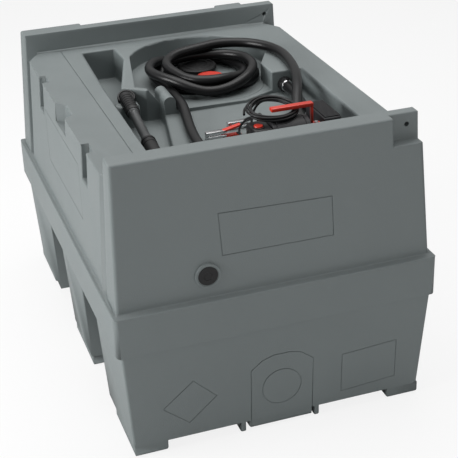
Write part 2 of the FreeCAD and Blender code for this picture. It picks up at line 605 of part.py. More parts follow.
save("pump_cover", box(CASE_X1, COVER_X1, COVER_Y0, COVER_Y1, plate_top, COVER_Z1))
save("hose_barbs", fuse([cylinder(OUTLET_R, (OUTLET_X, CASE_Y1, OUTLET_Z), (OUTLET_X, outlet_end, OUTLET_Z)),
                         cylinder(OUTLET_R, (INLET_X, COVER_Y1, INLET_Z), (INLET_X, inlet_end, INLET_Z))]))

# Valve on top of the casing, and its lever
valve_top = CASE_Z1 + VALVE_HEIGHT
valve = cylinder(VALVE_R, (STEM_X, STEM_Y, CASE_Z1), (STEM_X, STEM_Y, valve_top))
stem_top = valve_top + FIT + LEVER_THICK + STEM_PROUD
valve = valve.fuse(cylinder(STEM_R, (STEM_X, STEM_Y, valve_top), (STEM_X, STEM_Y, stem_top)))
save("valve_stem", valve)
hub_z = valve_top + FIT
half_lever = LEVER_WIDTH / 2
hub = cylinder(HUB_R, (STEM_X, STEM_Y, hub_z), (STEM_X, STEM_Y, hub_z + LEVER_THICK))
hub = hub.fuse(box(LEVER_HUB_X0, STEM_X, STEM_Y - half_lever, STEM_Y + half_lever, hub_z, hub_z + LEVER_THICK))
riser = box(LEVER_HUB_X0, LEVER_HUB_X0 + LEVER_THICK, STEM_Y - half_lever, STEM_Y + half_lever,
            hub_z, LEVER_Z1)
grip = box(LEVER_X0, LEVER_HUB_X0 + LEVER_THICK, STEM_Y - half_lever, STEM_Y + half_lever,
           LEVER_Z1 - LEVER_THICK, LEVER_Z1)
lever = fuse([hub, riser, grip]).cut(cylinder(STEM_R + FIT, (STEM_X, STEM_Y, hub_z),
                                              (STEM_X, STEM_Y, hub_z + LEVER_THICK)))
save("valve_lever", lever)

# Suction union on the fitting block
nut_y = BLOCK_CORNER[1] - UNION_NUT_LENGTH
save("suction_nut", cylinder(UNION_NUT_R, (UNION_X, BLOCK_CORNER[1], UNION_Z), (UNION_X, nut_y, UNION_Z)))
save("suction_ring", cylinder(UNION_RING_R, (UNION_X, nut_y, UNION_Z),
                              (UNION_X, nut_y - UNION_RING_LENGTH, UNION_Z)))


# Cords: straight runs joined by tangent arcs
def cord(name, points, radius):
    pts = [vec(*p) for p in points]
    edges = []
    at = pts[0]
    length = 0.0
    radii = []
    for before, corner, after in zip(pts, pts[1:], pts[2:]):
        run_in = (corner - before).normalize()
        run_out = (after - corner).normalize()
        turn = run_in.getAngle(run_out)
        shorter = min((corner - before).Length, (after - corner).Length)
        reach = 0.45 * shorter
        bend = reach / math.tan(turn / 2)
        start = corner - run_in * reach
        end = corner + run_out * reach
        towards = (run_out - run_in).normalize()
        middle = corner + towards * (bend / math.cos(turn / 2) - bend)
        edges.append(Part.LineSegment(at, start).toShape())
        edges.append(Part.Arc(start, middle, end).toShape())
        length += (start - at).Length + bend * turn
        at = end
        radii.append(round(bend))
    edges.append(Part.LineSegment(at, pts[-1]).toShape())
    length += (pts[-1] - at).Length
    path = Part.Wire(edges)
    section = Part.Wire(Part.makeCircle(radius, pts[0], (pts[1] - pts[0])))
    tube = path.makePipeShell([section], True, False)
    ratio = tube.Volume / (math.pi * radius * radius * length)
    print(name, "radii", radii, "length", round(length), "volume ratio", round(ratio, 4))
    save(name, tube)
    return tube


cord("feed_hose", FEED_POINTS, HOSE_R)
cord("nozzle_hose", TAIL_POINTS + [along(nozzle_length + FERRULE_LENGTH)], HOSE_R)
cord("suction_hose", SUCTION_POINTS, HOSE_R)
cord("switch_lead", LEAD_POINTS, CABLE_R)

coil = cylinder(COIL_R_OUT, COIL_C + (COIL_Z0,), COIL_C + (COIL_Z1,))
coil = coil.cut(cylinder(COIL_R_IN, COIL_C + (COIL_Z0,), COIL_C + (COIL_Z1,)))
coil = coil.cut(cylinder(CAP_R + COIL_CAP_GAP, FILLER_C + (COIL_Z0,), FILLER_C + (cap_top + COIL_CAP_GAP,)))
save("hose_coil", coil)
coil_z0 = motor_z + MOTOR_R + FIT
coil_low = CABLE_COIL_C + (coil_z0,)
coil_high = CABLE_COIL_C + (coil_z0 + CABLE_COIL_THICK,)
save("cable_coil", cylinder(CABLE_COIL_OUT, coil_low, coil_high).cut(cylinder(CABLE_COIL_IN, coil_low, coil_high)))
cord("red_lead", RED_LEAD_POINTS, CABLE_R)
cord("black_lead", BLACK_LEAD_POINTS, CABLE_R)


# Battery clips: a lower half that lies on the floor and an upper half that opens on a pin
def clip(name, tip):
    half = CLIP_WIDTH / 2
    pivot_x = JAW_LENGTH
    end_x = JAW_LENGTH + GRIP_LENGTH
    pivot_z = CLIP_PIVOT_Z
    lower = box(0, pivot_x, -half, half, pivot_z - FIT / 2 - JAW_THICK, pivot_z - FIT / 2)
    lower = lower.fuse(box(pivot_x - GRIP_OVERLAP, end_x, -half, half, 0, GRIP_THICK))
    lower = lower.fuse(box(0, TOE_LENGTH, -half, half, 0, pivot_z - FIT / 2))
    upper = box(0, pivot_x, -half, half, pivot_z + FIT / 2, pivot_z + FIT / 2 + JAW_THICK)
    grip_x = pivot_x - GRIP_OVERLAP
    handle = box(grip_x, end_x, -half, half, pivot_z + FIT / 2, pivot_z + FIT / 2 + GRIP_THICK)
    handle.rotate(vec(grip_x, 0, pivot_z), vec(0, 1, 0), -CLIP_SPREAD)
    upper = upper.fuse(handle)
    for label, shape in (("lower", lower), ("upper", upper)):
        shape.translate(vec(*tip, BAY_FLOOR_Z))
        save(name + "_" + label, shape)


clip("red_clip", CLIP_RED)
clip("black_clip", CLIP_BLACK)
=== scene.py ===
import bmesh
import bpy
import math
from bpy.props import FloatProperty, FloatVectorProperty, PointerProperty
from mathutils import Matrix, Vector


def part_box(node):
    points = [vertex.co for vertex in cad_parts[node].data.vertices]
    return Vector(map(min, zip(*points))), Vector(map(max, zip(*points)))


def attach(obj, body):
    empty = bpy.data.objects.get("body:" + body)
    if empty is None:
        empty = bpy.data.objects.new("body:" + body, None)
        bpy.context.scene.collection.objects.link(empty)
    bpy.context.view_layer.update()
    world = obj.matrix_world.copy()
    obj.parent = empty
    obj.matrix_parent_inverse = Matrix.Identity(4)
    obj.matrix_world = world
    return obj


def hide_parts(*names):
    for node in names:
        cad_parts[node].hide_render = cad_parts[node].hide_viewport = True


bl_info = {
    "name": "Portable diesel tank",
    "version": (1, 0, 0),
    "blender": (4, 5, 0),
    "location": "3D View > Sidebar > Tank",
    "description": "Dresses the packed tank with its moulded shell, pump kit, hoses and cables",
    "category": "Object",
}

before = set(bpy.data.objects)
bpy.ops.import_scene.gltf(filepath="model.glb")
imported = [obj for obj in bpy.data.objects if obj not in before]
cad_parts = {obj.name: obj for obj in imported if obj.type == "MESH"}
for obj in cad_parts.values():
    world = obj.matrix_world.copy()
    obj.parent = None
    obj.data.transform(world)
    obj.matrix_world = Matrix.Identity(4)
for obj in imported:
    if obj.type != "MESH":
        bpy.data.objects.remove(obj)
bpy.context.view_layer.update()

MOULDED = ("front_leg", "middle_leg", "rear_leg", "feet", "rim_band", "channel_roofs", "front_panel",
           "rear_panel", "left_wall", "right_wall", "deck", "hose_well", "pump_bay", "nozzle_trench",
           "recess_divider", "nozzle_cradle")


# Settings
def number(name, default, description):
    return FloatProperty(name=name, description=description, default=default)


def length(name, default, low, high, description):
    return FloatProperty(name=name, description=description, unit="LENGTH", default=default, min=low,
                         max=high)


def tint(name, default, description):
    return FloatVectorProperty(name=name, description=description, subtype="COLOR", size=3, min=0.0, max=1.0,
                               default=default)


class TankSettings(bpy.types.PropertyGroup):
    colour: tint("Tank colour", (0.150, 0.172, 0.173), "Colour of the moulded plastic")
    corner: length("Corner radius", 0.014, 0.002, 0.03, "Radius of the rim's upright corners")
    edge: length("Edge radius", 0.008, 0.001, 0.02, "Radius of the long moulded edges")
    detail: length("Detail radius", 0.0045, 0.001, 0.01, "Radius of slots, notches and other small edges")


class HoseSettings(bpy.types.PropertyGroup):
    hose: length("Hose diameter", 0.027, 0.01, 0.05, "Outside diameter of the delivery hose")
    cable: length("Cable diameter", 0.006, 0.002, 0.02, "Outside diameter of the battery cable")
    colour: tint("Rubber colour", (0.0055, 0.0055, 0.006), "Colour of the hose's cover")


class StageSettings(bpy.types.PropertyGroup):
    azimuth: number("Azimuth", -18.35, "Turn of the camera round the tank, in degrees")
    elevation: number("Elevation", 27.2, "Height of the camera above the horizon, in degrees")
    roll: number("Roll", -1.93, "Tilt of the camera about its own axis, in degrees")
    lens: number("Lens", 95.65, "Focal length on a 36 mm sensor, in millimetres")
    place: FloatVectorProperty(name="Camera place", description="Where the camera stands",
                               subtype="TRANSLATION", size=3, default=(-0.87685, -2.83382, 1.80204))


# Node trees
def node(tree, kind, feeds=None, **values):
    """A node with its options and inputs set; feeds gives the outputs that are linked to its inputs."""
    made = tree.nodes.new(kind)
    for name, value in values.items():
        if name.startswith("in_"):
            key = name[3:]
            made.inputs[int(key) if key.isdigit() else key.replace("_", " ")].default_value = value
        else:
            setattr(made, name, value)
    for key, output in (feeds or {}).items():
        tree.links.new(output, made.inputs[key])
    return made


def sums(tree, operation, *terms, clamp=False):
    """Output of a sum; each term is a plain number or another node's output."""
    made = node(tree, "ShaderNodeMath", operation=operation, use_clamp=clamp)
    for term, socket in zip(terms, made.inputs):
        if isinstance(term, float):
            socket.default_value = term
        else:
            tree.links.new(term, socket)
    return made.outputs[0]


def surface_group():
    """Colour, roughness and height of a worked surface: cloudy tone, fine grain and dust on level faces."""
    name = "Worked surface"
    if name in bpy.data.node_groups:
        return bpy.data.node_groups[name]
    group = bpy.data.node_groups.new(name, "ShaderNodeTree")
    source, target = group.nodes.new("NodeGroupInput"), group.nodes.new("NodeGroupOutput")
    for label, default in (("Colour", (0.5, 0.5, 0.5, 1)), ("Tone", 0.15), ("Tone scale", 6.0),
                           ("Grain scale", 600.0), ("Grain", 0.3), ("Roughness", 0.5), ("Dust", 0.0),
                           ("Dust colour", (0.32, 0.33, 0.32, 1)), ("Scuffs", 0.0)):
        kind = "NodeSocketFloat" if isinstance(default, float) else "NodeSocketColor"
        made = group.interface.new_socket(name=label, in_out="INPUT", socket_type=kind)
        made.default_value = default
    for label, kind in (("Colour", "Color"), ("Roughness", "Float"), ("Height", "Float")):
        group.interface.new_socket(name=label, in_out="OUTPUT", socket_type="NodeSocket" + kind)
    given = source.outputs
    place = node(group, "ShaderNodeTexCoord").outputs
    cloud = node(group, "ShaderNodeTexNoise", {"Vector": place["Object"], "Scale": given["Tone scale"]},
                 in_Detail=5.0, in_Roughness=0.6).outputs["Fac"]
    fine = node(group, "ShaderNodeTexNoise", {"Vector": place["Object"], "Scale": given["Grain scale"]},
                in_Detail=3.0, in_Roughness=0.55).outputs["Fac"]
    # Tone: lighter and darker clouds
    centred = sums(group, "SUBTRACT", cloud, 0.5)
    scaled = sums(group, "MULTIPLY_ADD", centred, given["Tone"], 1.0)
    toned = node(group, "ShaderNodeVectorMath", {0: given["Colour"], "Scale": scaled}, operation="SCALE")
    # Scuffs: thin pale scratches where a stretched noise is high
    turned_place = node(group, "ShaderNodeMapping", {"Vector": place["Object"]}, in_Scale=(9.0, 42.0, 26.0),
                        in_Rotation=(0.3, 0.5, 0.7))
    scratch = node(group, "ShaderNodeTexNoise", {"Vector": turned_place.outputs[0]}, in_Scale=1.6,
                   in_Detail=6.0, in_Roughness=0.7)
    thin = node(group, "ShaderNodeMapRange", {0: scratch.outputs["Fac"]}, in_1=0.66, in_2=0.74)
    scuff = sums(group, "MULTIPLY", thin.outputs[0], given["Scuffs"])
    # Dust: settles on faces that look up, in patches
    normal = node(group, "ShaderNodeSeparateXYZ", {0: place["Normal"]})
    level = node(group, "ShaderNodeMapRange", {0: normal.outputs["Z"]}, in_1=0.45, in_2=0.98)
    patch = node(group, "ShaderNodeMapRange", {0: cloud}, in_1=0.30, in_2=0.72, in_3=0.35, in_4=1.0)
    settled = sums(group, "MULTIPLY", level.outputs[0], patch.outputs[0])
    dust = sums(group, "MULTIPLY", settled, given["Dust"])
    share = sums(group, "ADD", dust, scuff, clamp=True)
    mixed = node(group, "ShaderNodeMix", data_type="RGBA")
    for key, output in (("Factor", share), ("A", toned.outputs[0]), ("B", given["Dust colour"])):
        group.links.new(output, mixed.inputs[key])
    # Roughness: rises a little with the clouds and the dust
    rough = sums(group, "MULTIPLY_ADD", centred, 0.25, given["Roughness"])
    dusty = sums(group, "MULTIPLY_ADD", share, 0.35, rough, clamp=True)
    for key, output in (("Colour", mixed.outputs["Result"]), ("Roughness", dusty),
                        ("Height", sums(group, "MULTIPLY", fine, given["Grain"]))):
        group.links.new(output, target.inputs[key])
    return group


# Finishes: material name, colour or the settings that hold it, and what differs from a plain surface
FINISHES = {
    "tank_plastic": ("moulded grey plastic", "tank_body", dict(
        roughness=0.52, tone=0.16, tone_scale=3.2, grain=0.9, grain_scale=420.0, bump=0.0005, dust=0.22,
        dust_colour=(0.36, 0.385, 0.385, 1), scuffs=0.10, specular=0.42)),
    "hose_rubber": ("hose cover", "tank_hoses", dict(
        roughness=0.34, tone=0.4, tone_scale=12.0, grain=0.4, grain_scale=900.0, bump=0.0002, dust=0.02,
        specular=0.30, coat=0.04, coat_roughness=0.3)),
    "cable_rubber": ("cable sheath", (0.006, 0.006, 0.0065), dict(
        roughness=0.40, tone=0.3, tone_scale=30.0, grain_scale=1500.0, bump=0.0001, specular=0.28)),
    "black_plastic": ("black plastic", (0.008, 0.008, 0.0085), dict(
        roughness=0.42, tone=0.3, tone_scale=20.0, grain=0.5, grain_scale=1100.0, bump=0.0002, dust=0.03,
        scuffs=0.05, specular=0.30)),
    "pump_paint": ("pump paint", (0.014, 0.014, 0.016), dict(
        roughness=0.46, tone=0.3, tone_scale=25.0, grain=1.0, grain_scale=900.0, dust=0.10,
        dust_colour=(0.20, 0.20, 0.20, 1), scuffs=0.06, specular=0.38)),
    "red_plastic": ("red plastic", (0.600, 0.032, 0.014), dict(
        roughness=0.34, tone=0.2, tone_scale=18.0, grain=0.4, grain_scale=900.0, bump=0.0001, dust=0.04,
        scuffs=0.05)),
    "bright_metal": ("bright plated metal", (0.70, 0.70, 0.71), dict(
        roughness=0.17, tone=0.12, tone_scale=60.0, grain_scale=1200.0, bump=0.0001, metallic=1.0)),
    "brushed_steel": ("brushed steel", (0.42, 0.42, 0.43), dict(
        roughness=0.34, tone=0.2, tone_scale=50.0, grain=0.8, grain_scale=1400.0, bump=0.0001, metallic=1.0)),
    "worn_metal": ("worn spout", (0.085, 0.088, 0.090), dict(
        roughness=0.38, tone=0.35, tone_scale=30.0, grain=0.6, grain_scale=900.0, bump=0.0002, dust=0.08,
        scuffs=0.3, metallic=0.6)),
}


def finish(key):
    """Material of a finish, with the worked surface behind it."""
    name, colour, values = FINISHES[key]
    if name in bpy.data.materials:
        return bpy.data.materials[name]
    if isinstance(colour, str):
        colour = getattr(bpy.context.scene, colour).colour
    made = bpy.data.materials.new(name)
    made.use_nodes = True
    tree = made.node_tree
    shader = tree.nodes["Principled BSDF"].inputs
    values = {"metallic": 0.0, "specular": 0.5, "coat": 0.0, "coat_roughness": 0.2, "bump": 0.0004, **values}
    for label, value in (("Metallic", "metallic"), ("Specular IOR Level", "specular"),
                         ("Coat Weight", "coat"), ("Coat Roughness", "coat_roughness")):
        shader[label].default_value = values.pop(value)
    bump = values.pop("bump")
    surface = node(tree, "ShaderNodeGroup", node_tree=surface_group(), in_Colour=(*colour, 1),
                   **{"in_" + label.capitalize(): value for label, value in values.items()}).outputs
    bumped = node(tree, "ShaderNodeBump", {"Height": surface["Height"]}, in_Strength=1.0, in_Distance=bump)
    for label, output in (("Base Color", surface["Colour"]), ("Roughness", surface["Roughness"]),
                          ("Normal", bumped.outputs["Normal"])):
        tree.links.new(output, shader[label])
    return made


# Modelling helpers
def piece(name, bm, surface, *nodes, body="tank", slot=None, angle=30.0):
    """Makes an object of a bmesh, in place in the frame, that rides on a body and may stand for CAD nodes."""
    mesh = as_mesh(name, bm)
    mesh.shade_smooth()
    mesh.set_sharp_from_angle(angle=math.radians(angle))
    made = bpy.data.objects.new(name, mesh)
    bpy.context.scene.collection.objects.link(made)
    made.data.materials.append(finish(surface))
    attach(made, body)
    if nodes:
        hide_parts(*nodes)
    return made


def as_mesh(name, bm):
    mesh = bpy.data.meshes.new(name)
    bm.to_mesh(mesh)
    bm.free()
    return mesh


def as_object(name, bm):
    return bpy.data.objects.new(name, as_mesh(name, bm))


def axis_place(start, end):
    """Matrix that stands local Z on a line from one point to another."""
    start = Vector(start)
    return Matrix.Translation(start) @ (Vector(end) - start).to_track_quat("Z", "Y").to_matrix().to_4x4()


def standing(node_name):
    """Place on the middle of the floor of a CAD node's box, and the box's height."""
    low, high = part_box(node_name)
    centre = (low + high) / 2
    return Matrix.Translation((centre.x, centre.y, low.z)), high.z - low.z


def settle(bm, before, place=None):
    """Turns the faces made since outwards and moves them to their place."""
    fresh = [v for v in bm.verts if v not in before]
    bmesh.ops.recalc_face_normals(bm, faces=list(dict.fromkeys(f for v in fresh for f in v.link_faces)))
    if place is not None:
        bmesh.ops.transform(bm, matrix=place, verts=fresh)


def spin(bm, outline, steps, closed=False):
    """Turns a line of radius and height pairs once round Z."""
    made = [bm.verts.new((radius, 0.0, height)) for radius, height in outline]
    pairs = list(zip(made, made[1:])) + ([(made[-1], made[0])] if closed else [])
    bmesh.ops.spin(bm, geom=made + [bm.edges.new(pair) for pair in pairs], cent=(0, 0, 0), axis=(0, 0, 1),
                   dvec=(0, 0, 0), angle=2 * math.pi, steps=steps, use_merge=True)


def add_turned(bm, outline, place, steps=48):
    """Adds a turned shape: radius and height pairs, from the axis at the bottom to the axis on top."""
    before = set(bm.verts)
    spin(bm, outline, steps)
    bmesh.ops.remove_doubles(bm, verts=[v for v in bm.verts if v not in before], dist=1e-6)
    settle(bm, before, place)


def turned(outline, place, steps=48):
    bm = bmesh.new()
    add_turned(bm, outline, place, steps)
    return bm


def add_ring(bm, place, inner, outer, height, steps=48):
    """Adds a ring with a rounded top edge, that stands on a level face."""
    before = set(bm.verts)
    edge = min(0.0008, height / 3)
    spin(bm, [(inner, 0), (outer, 0), (outer, height - edge), (outer - edge, height), (inner + edge, height),
              (inner, height - edge)], steps, closed=True)
    settle(bm, before, Matrix.Translation(place))


def add_block(bm, low, high, radius=0.0, segments=2, place=None):
    """Adds a box between two corners with rounded edges."""
    before = set(bm.verts)
    low, high = Vector(low), Vector(high)
    size = high - low
    matrix = Matrix.Translation((low + high) / 2) @ Matrix.Diagonal((*size, 1.0))
    made = bmesh.ops.create_cube(bm, size=1.0, matrix=matrix)["verts"]
    if radius > 0:
        edges = list(dict.fromkeys(e for v in made for e in v.link_edges))
        bmesh.ops.bevel(bm, geom=edges, offset=radius, segments=segments, profile=0.5, affect="EDGES",
                        material=-1)
    settle(bm, before, place)


def exact_boolean(body, operation):
    bpy.context.scene.collection.objects.link(body)
    made = body.modifiers.new("boolean", "BOOLEAN")
    made.operation = operation
    made.solver = "EXACT"
    return made


def applied(body, *others):
    """An object's mesh after its modifiers, as a bmesh; the objects that went into it are removed."""
    graph = bpy.context.evaluated_depsgraph_get()
    mesh = bpy.data.meshes.new_from_object(body.evaluated_get(graph))
    bm = bmesh.new()
    bm.from_mesh(mesh)
    bpy.data.meshes.remove(mesh)
    for used in (body, *others):
        bpy.data.objects.remove(used)
    return bm


def joined(first, others):
    """Union of closed meshes, as a bmesh."""
    group = bpy.data.collections.new("to join")
    bpy.context.scene.collection.children.link(group)
    for other in others:
        group.objects.link(other)
    join = exact_boolean(first, "UNION")
    join.operand_type = "COLLECTION"
    join.collection = group
    bm = applied(first, *others)
    bpy.data.collections.remove(group)
    return bm


def subtracted(body, tool):
    """One closed mesh less another, as a bmesh."""
    bpy.context.scene.collection.objects.link(tool)
    exact_boolean(body, "DIFFERENCE").object = tool
    return applied(body, tool)


# Places on the tank that settle the radius of an edge, in metres
TOUCH = 0.002
LEVEL = 0.003
FOOT_TOP = 0.030
FOOT_INSET = (0.035, 0.025)
LEG_EDGE = 0.1
LONG_EDGE = 0.2
DECK_TOP = 0.688
PANEL_FACES = (0.450, -0.455)
PANEL_CORNER = (0.30, 0.365)
GROOVE_START = 0.32
GROOVES = ((-0.46, -0.40), (0.385, 0.455))
POST_LOW, POST_HIGH = (-0.104, 0.0, 0.645), (-0.064, 0.099, 0.745)
# Shares of the set radius at the rim's outer edges and at the foot of the block
RIM_SHARE = 0.4
LEDGE_SHARE = 0.6


def edge_width(edge, settings):
    """Radius of a moulded edge by its place and length; 0 leaves the edge sharp."""
    a, b = edge.verts[0].co, edge.verts[1].co
    middle = (a + b) / 2
    x, y, z = abs(middle.x), middle.y, middle.z
    length = (a - b).length
    rim_low, rim_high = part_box("rim_band")
    upright = abs(a.z - b.z) > 0.9 * length
    at_side, at_end = x > rim_high.x - TOUCH, abs(y) > rim_high.y - TOUCH
    if upright and at_side and at_end:
        return settings.corner
    if z < rim_low.z - TOUCH / 2:
        at_corner = x > rim_high.x - FOOT_INSET[0] and abs(y) > rim_high.y - FOOT_INSET[1]
        if upright and at_corner and z < FOOT_TOP:
            return 0.0
        if upright:
            return settings.corner if length > LEG_EDGE else settings.detail
        if abs(z - FOOT_TOP) < TOUCH:
            return 0.0
        return settings.edge if z < TOUCH else settings.detail
    # The round end of the post beside the cradle and the feet of the corner grooves stay sharp
    if all(low < value < high for low, value, high in zip(POST_LOW, middle, POST_HIGH)):
        return 0.0
    at_panel = min(abs(y - face) for face in PANEL_FACES) < TOUCH
    if at_panel and (abs(z - DECK_TOP) < LEVEL or upright and PANEL_CORNER[0] < x < PANEL_CORNER[1]):
        return 0.0
    at_rim_top = abs(z - rim_high.z) < LEVEL
    in_groove = x > GROOVE_START and any(low < y < high for low, high in GROOVES)
    if in_groove and at_rim_top and not (at_side or at_end):
        return 0.0
    if at_side or at_end:
        return settings.edge * RIM_SHARE
    if at_rim_top:
        return settings.detail * LEDGE_SHARE
    return settings.edge if length > LONG_EDGE else settings.detail


# Thin moulded lines: a face by its origin and two directions, and outlines on it in metres
LOW_FRONT = ((0, -0.545, 0), (1, 0, 0), (0, -0.0445, 0.999))
HIGH_FRONT = ((0, -0.541, 0.395), (1, 0, 0), (0, 0.0939, 0.9956))
LEFT_WALL = ((-0.388, 0, 0.395), (0, -1, 0), (0.0511, 0, 0.9987))
WELL_FLOOR = ((0, 0, 0.638), (1, 0, 0), (0, 1, 0))
ARCH = [(-0.077, 0.012), (-0.077, 0.178), (-0.049, 0.201), (-0.020, 0.211), (0.023, 0.211), (0.052, 0.203),
        (0.083, 0.178), (0.083, 0.012)]
DIAMOND = [(-0.221, 0.187), (-0.164, 0.130), (-0.233, 0.068), (-0.297, 0.123)]
BADGE = [(0.159, 0.058), (0.304, 0.068), (0.304, 0.177), (0.159, 0.168)]
PLATE = [(-0.131, 0.097), (0.142, 0.0955), (0.141, 0.192), (-0.135, 0.200)]
SIDE_PANEL = [(-0.155, 0.097), (0.229, 0.097), (0.196, 0.226), (-0.193, 0.226)]
# Flange seam along the deck, and the heights between which it is cut
SEAM = [(-0.2755, -0.455), (-0.2725, -0.455), (-0.2725, 0.443), (-0.2755, 0.443)]
SEAM_HEIGHTS = (0.6865, 0.690)


def circle(centre, radius, steps=48):
    turns = [2 * math.pi * i / steps for i in range(steps)]
    return [(centre[0] + radius * math.cos(turn), centre[1] + radius * math.sin(turn)) for turn in turns]


LINES = ((LOW_FRONT, ARCH), (LOW_FRONT, circle((0.002, 0.115), 0.050)), (LOW_FRONT, DIAMOND),
         (LOW_FRONT, BADGE), (HIGH_FRONT, PLATE), (LEFT_WALL, SIDE_PANEL),
         (WELL_FLOOR, circle((0.095, 0.140), 0.122)))


def add_frame(bm, face, outline, width=0.0022, depth=0.0018):
    """Adds a closed line of square section, that is half sunk in a face."""
    before = set(bm.verts)
    corners = [Vector((*point, 0)) for point in outline]
    count = len(corners)
    loops = []
    for offset, height in ((-0.5, -1), (0.5, -1), (0.5, 1), (-0.5, 1)):
        loop = []
        for i, corner in enumerate(corners):
            back = (corner - corners[i - 1]).normalized()
            ahead = (corners[(i + 1) % count] - corner).normalized()
            side = Vector((back.y + ahead.y, -back.x - ahead.x, 0))
            reach = offset * width * 2 / max(side.length_squared, 0.2)
            loop.append(bm.verts.new(corner + side * reach + Vector((0, 0, height * depth))))
        loops.append(loop)
    for first, second in zip(loops, loops[1:] + loops[:1]):
        for i in range(count):
            j = (i + 1) % count
            bm.faces.new((first[i], first[j], second[j], second[i]))
    origin, across, up = (Vector(part) for part in face)
    place = Matrix((across, up, across.cross(up))).transposed().to_4x4()
    settle(bm, before, Matrix.Translation(origin) @ place)


def moulded_lines():
    """All thin lines as one closed mesh, to be cut from the shell."""
    bm = bmesh.new()
    for face, outline in LINES:
        add_frame(bm, face, outline)
    before = set(bm.verts)
    ends = [[bm.verts.new((*point, z)) for point in SEAM] for z in SEAM_HEIGHTS]
    for i in range(4):
        bm.faces.new((ends[0][i], ends[0][(i + 1) % 4], ends[1][(i + 1) % 4], ends[1][i]))
    for end in ends:
        bm.faces.new(end)
    settle(bm, before)
    return bm


def outer_shell(bm):
    """Keeps the faces that the outside air touches: the part that holds the widest point."""
    start = max(bm.verts, key=lambda v: v.co.x + v.co.y)
    keep, stack = {start}, [start]
    while stack:
        vert = stack.pop()
        for edge in vert.link_edges:
            other = edge.other_vert(vert)
            if other not in keep:
                keep.add(other)
                stack.append(other)
    bmesh.ops.delete(bm, geom=[v for v in bm.verts if v not in keep], context="VERTS")


def solid_copy(name):
    """Closed copy of a CAD node's mesh, with its loose triangles joined."""
    bm = bmesh.new()
    bm.from_mesh(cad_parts[name].data)
    bmesh.ops.remove_doubles(bm, verts=bm.verts, dist=1e-5)
    return bm


def filler_floor():
    """Disc that shuts the filler below its neck, so that the inside stays closed."""
    place, _ = standing("filler_neck")
    bm = bmesh.new()
    bmesh.ops.create_cone(bm, cap_ends=True, segments=48, radius1=0.043, radius2=0.043, depth=0.004,
                          matrix=place @ Matrix.Translation((0, 0, -0.003)))
    return bm


# An edge is rounded from this angle on, beside faces at least this broad, by at most this share of the room
SHARP_ANGLE = math.radians(24)
NARROW_FACE = 0.004
ROOM_SHARE = 0.42


class TANK_OT_shell(bpy.types.Operator):
    """Moulded tank: the CAD solids joined to one body, with every edge rounded"""
    bl_idname = "tank.shell"
    bl_label = "Moulded tank"

    def execute(self, context):
        settings = context.scene.tank_body
        solids = [as_object(name, solid_copy(name)) for name in MOULDED]
        solids.append(as_object("filler floor", filler_floor()))
        bm = joined(solids[0], solids[1:])
        bmesh.ops.remove_doubles(bm, verts=bm.verts, dist=2e-5)
        outer_shell(bm)
        bmesh.ops.dissolve_limit(bm, angle_limit=math.radians(0.6), verts=bm.verts, edges=bm.edges,
                                 delimit=set())
        bm = subtracted(as_object("tank body", bm), as_object("tank lines", moulded_lines()))
        # Faces that run round a corner are split, so that they stay flat beside rounded edges
        bmesh.ops.connect_verts_concave(bm, faces=bm.faces)
        weights = bm.edges.layers.float.new("bevel_weight_edge")
        widest = settings.corner
        for edge in bm.edges:
            if len(edge.link_faces) != 2 or edge.calc_face_angle(0.0) < SHARP_ANGLE:
                continue
            breadths = [face.calc_area() / max(e.calc_length() for e in face.edges)
                        for face in edge.link_faces]
            if min(breadths) < NARROW_FACE:
                continue
            near = [e.calc_length() for v in edge.verts for e in v.link_edges
                    if e is not edge and e.calc_face_angle(0.0) > 0.1]
            room = ROOM_SHARE * min(near + [edge.calc_length()])
            edge[weights] = min(edge_width(edge, settings), room) / widest
        made = piece("tank_shell", bm, "tank_plastic", *MOULDED, angle=40.0)
        soft = made.modifiers.new("rounded edges", "BEVEL")
        soft.limit_method = "WEIGHT"
        soft.width = widest
        soft.segments = 3
        soft.profile = 0.5
        soft.use_clamp_overlap = False
        flat = made.modifiers.new("flat faces", "WEIGHTED_NORMAL")
        flat.keep_sharp = True
        return {"FINISHED"}


# Cords: the hose runs from the pump to the loops round the filler, and on to the nozzle
HOSE_CENTRE = (0.067, 0.190)
FEED = (
    (0.183, -0.2637, 0.657), (0.183, -0.208, 0.661), (0.204, -0.152, 0.676), (0.229, -0.096, 0.690),
    (0.252, -0.036, 0.699), (0.267, 0.030, 0.703), (0.277, 0.096, 0.7035), (0.278, 0.158, 0.703),
    (0.262, 0.214, 0.702), (0.228, 0.260, 0.701), (0.186, 0.284, 0.701))
# Angle in degrees, radius and height in mm of the loops, each on the floor, the cap or the loop below
LOOPS = (
    (54, 122, 702), (72, 94, 701), (90, 84, 700), (110, 83, 699), (130, 88, 698), (150, 95, 694),
    (168, 99, 690), (188, 97, 687), (208, 98, 684), (226, 108, 681), (244, 116, 680), (262, 118, 680),
    (280, 116, 679), (300, 110, 672), (320, 108, 663), (341, 112, 660), (362, 115, 655), (382, 122, 652),
    (402, 132, 652), (422, 141, 652), (442, 144, 652), (462, 143, 653), (480, 139, 664), (500, 141, 678),
    (521, 146, 680), (540, 146, 681), (562, 143, 684), (582, 142, 682), (600, 143, 668), (618, 142, 656),
    (640, 144, 661), (662, 144, 673), (684, 139, 681), (705, 133, 682), (730, 126, 681), (754, 115, 679),
    (776, 106, 676), (796, 102, 675), (818, 102, 675), (840, 103, 675), (855, 104, 674), (870, 106, 664),
    (885, 109, 655), (900, 112, 652), (920, 112, 652), (942, 110, 652), (964, 109, 652), (984, 110, 652),
    (1008, 120, 652), (1032, 133, 652), (1054, 139, 652), (1074, 142, 652), (1098, 148, 652),
    (1120, 159, 652), (1142, 169, 652), (1166, 172, 652), (1190, 168, 652), (1214, 156, 652),
    (1238, 137, 652), (1260, 131, 652))
LOOP_SPREAD = 1.02
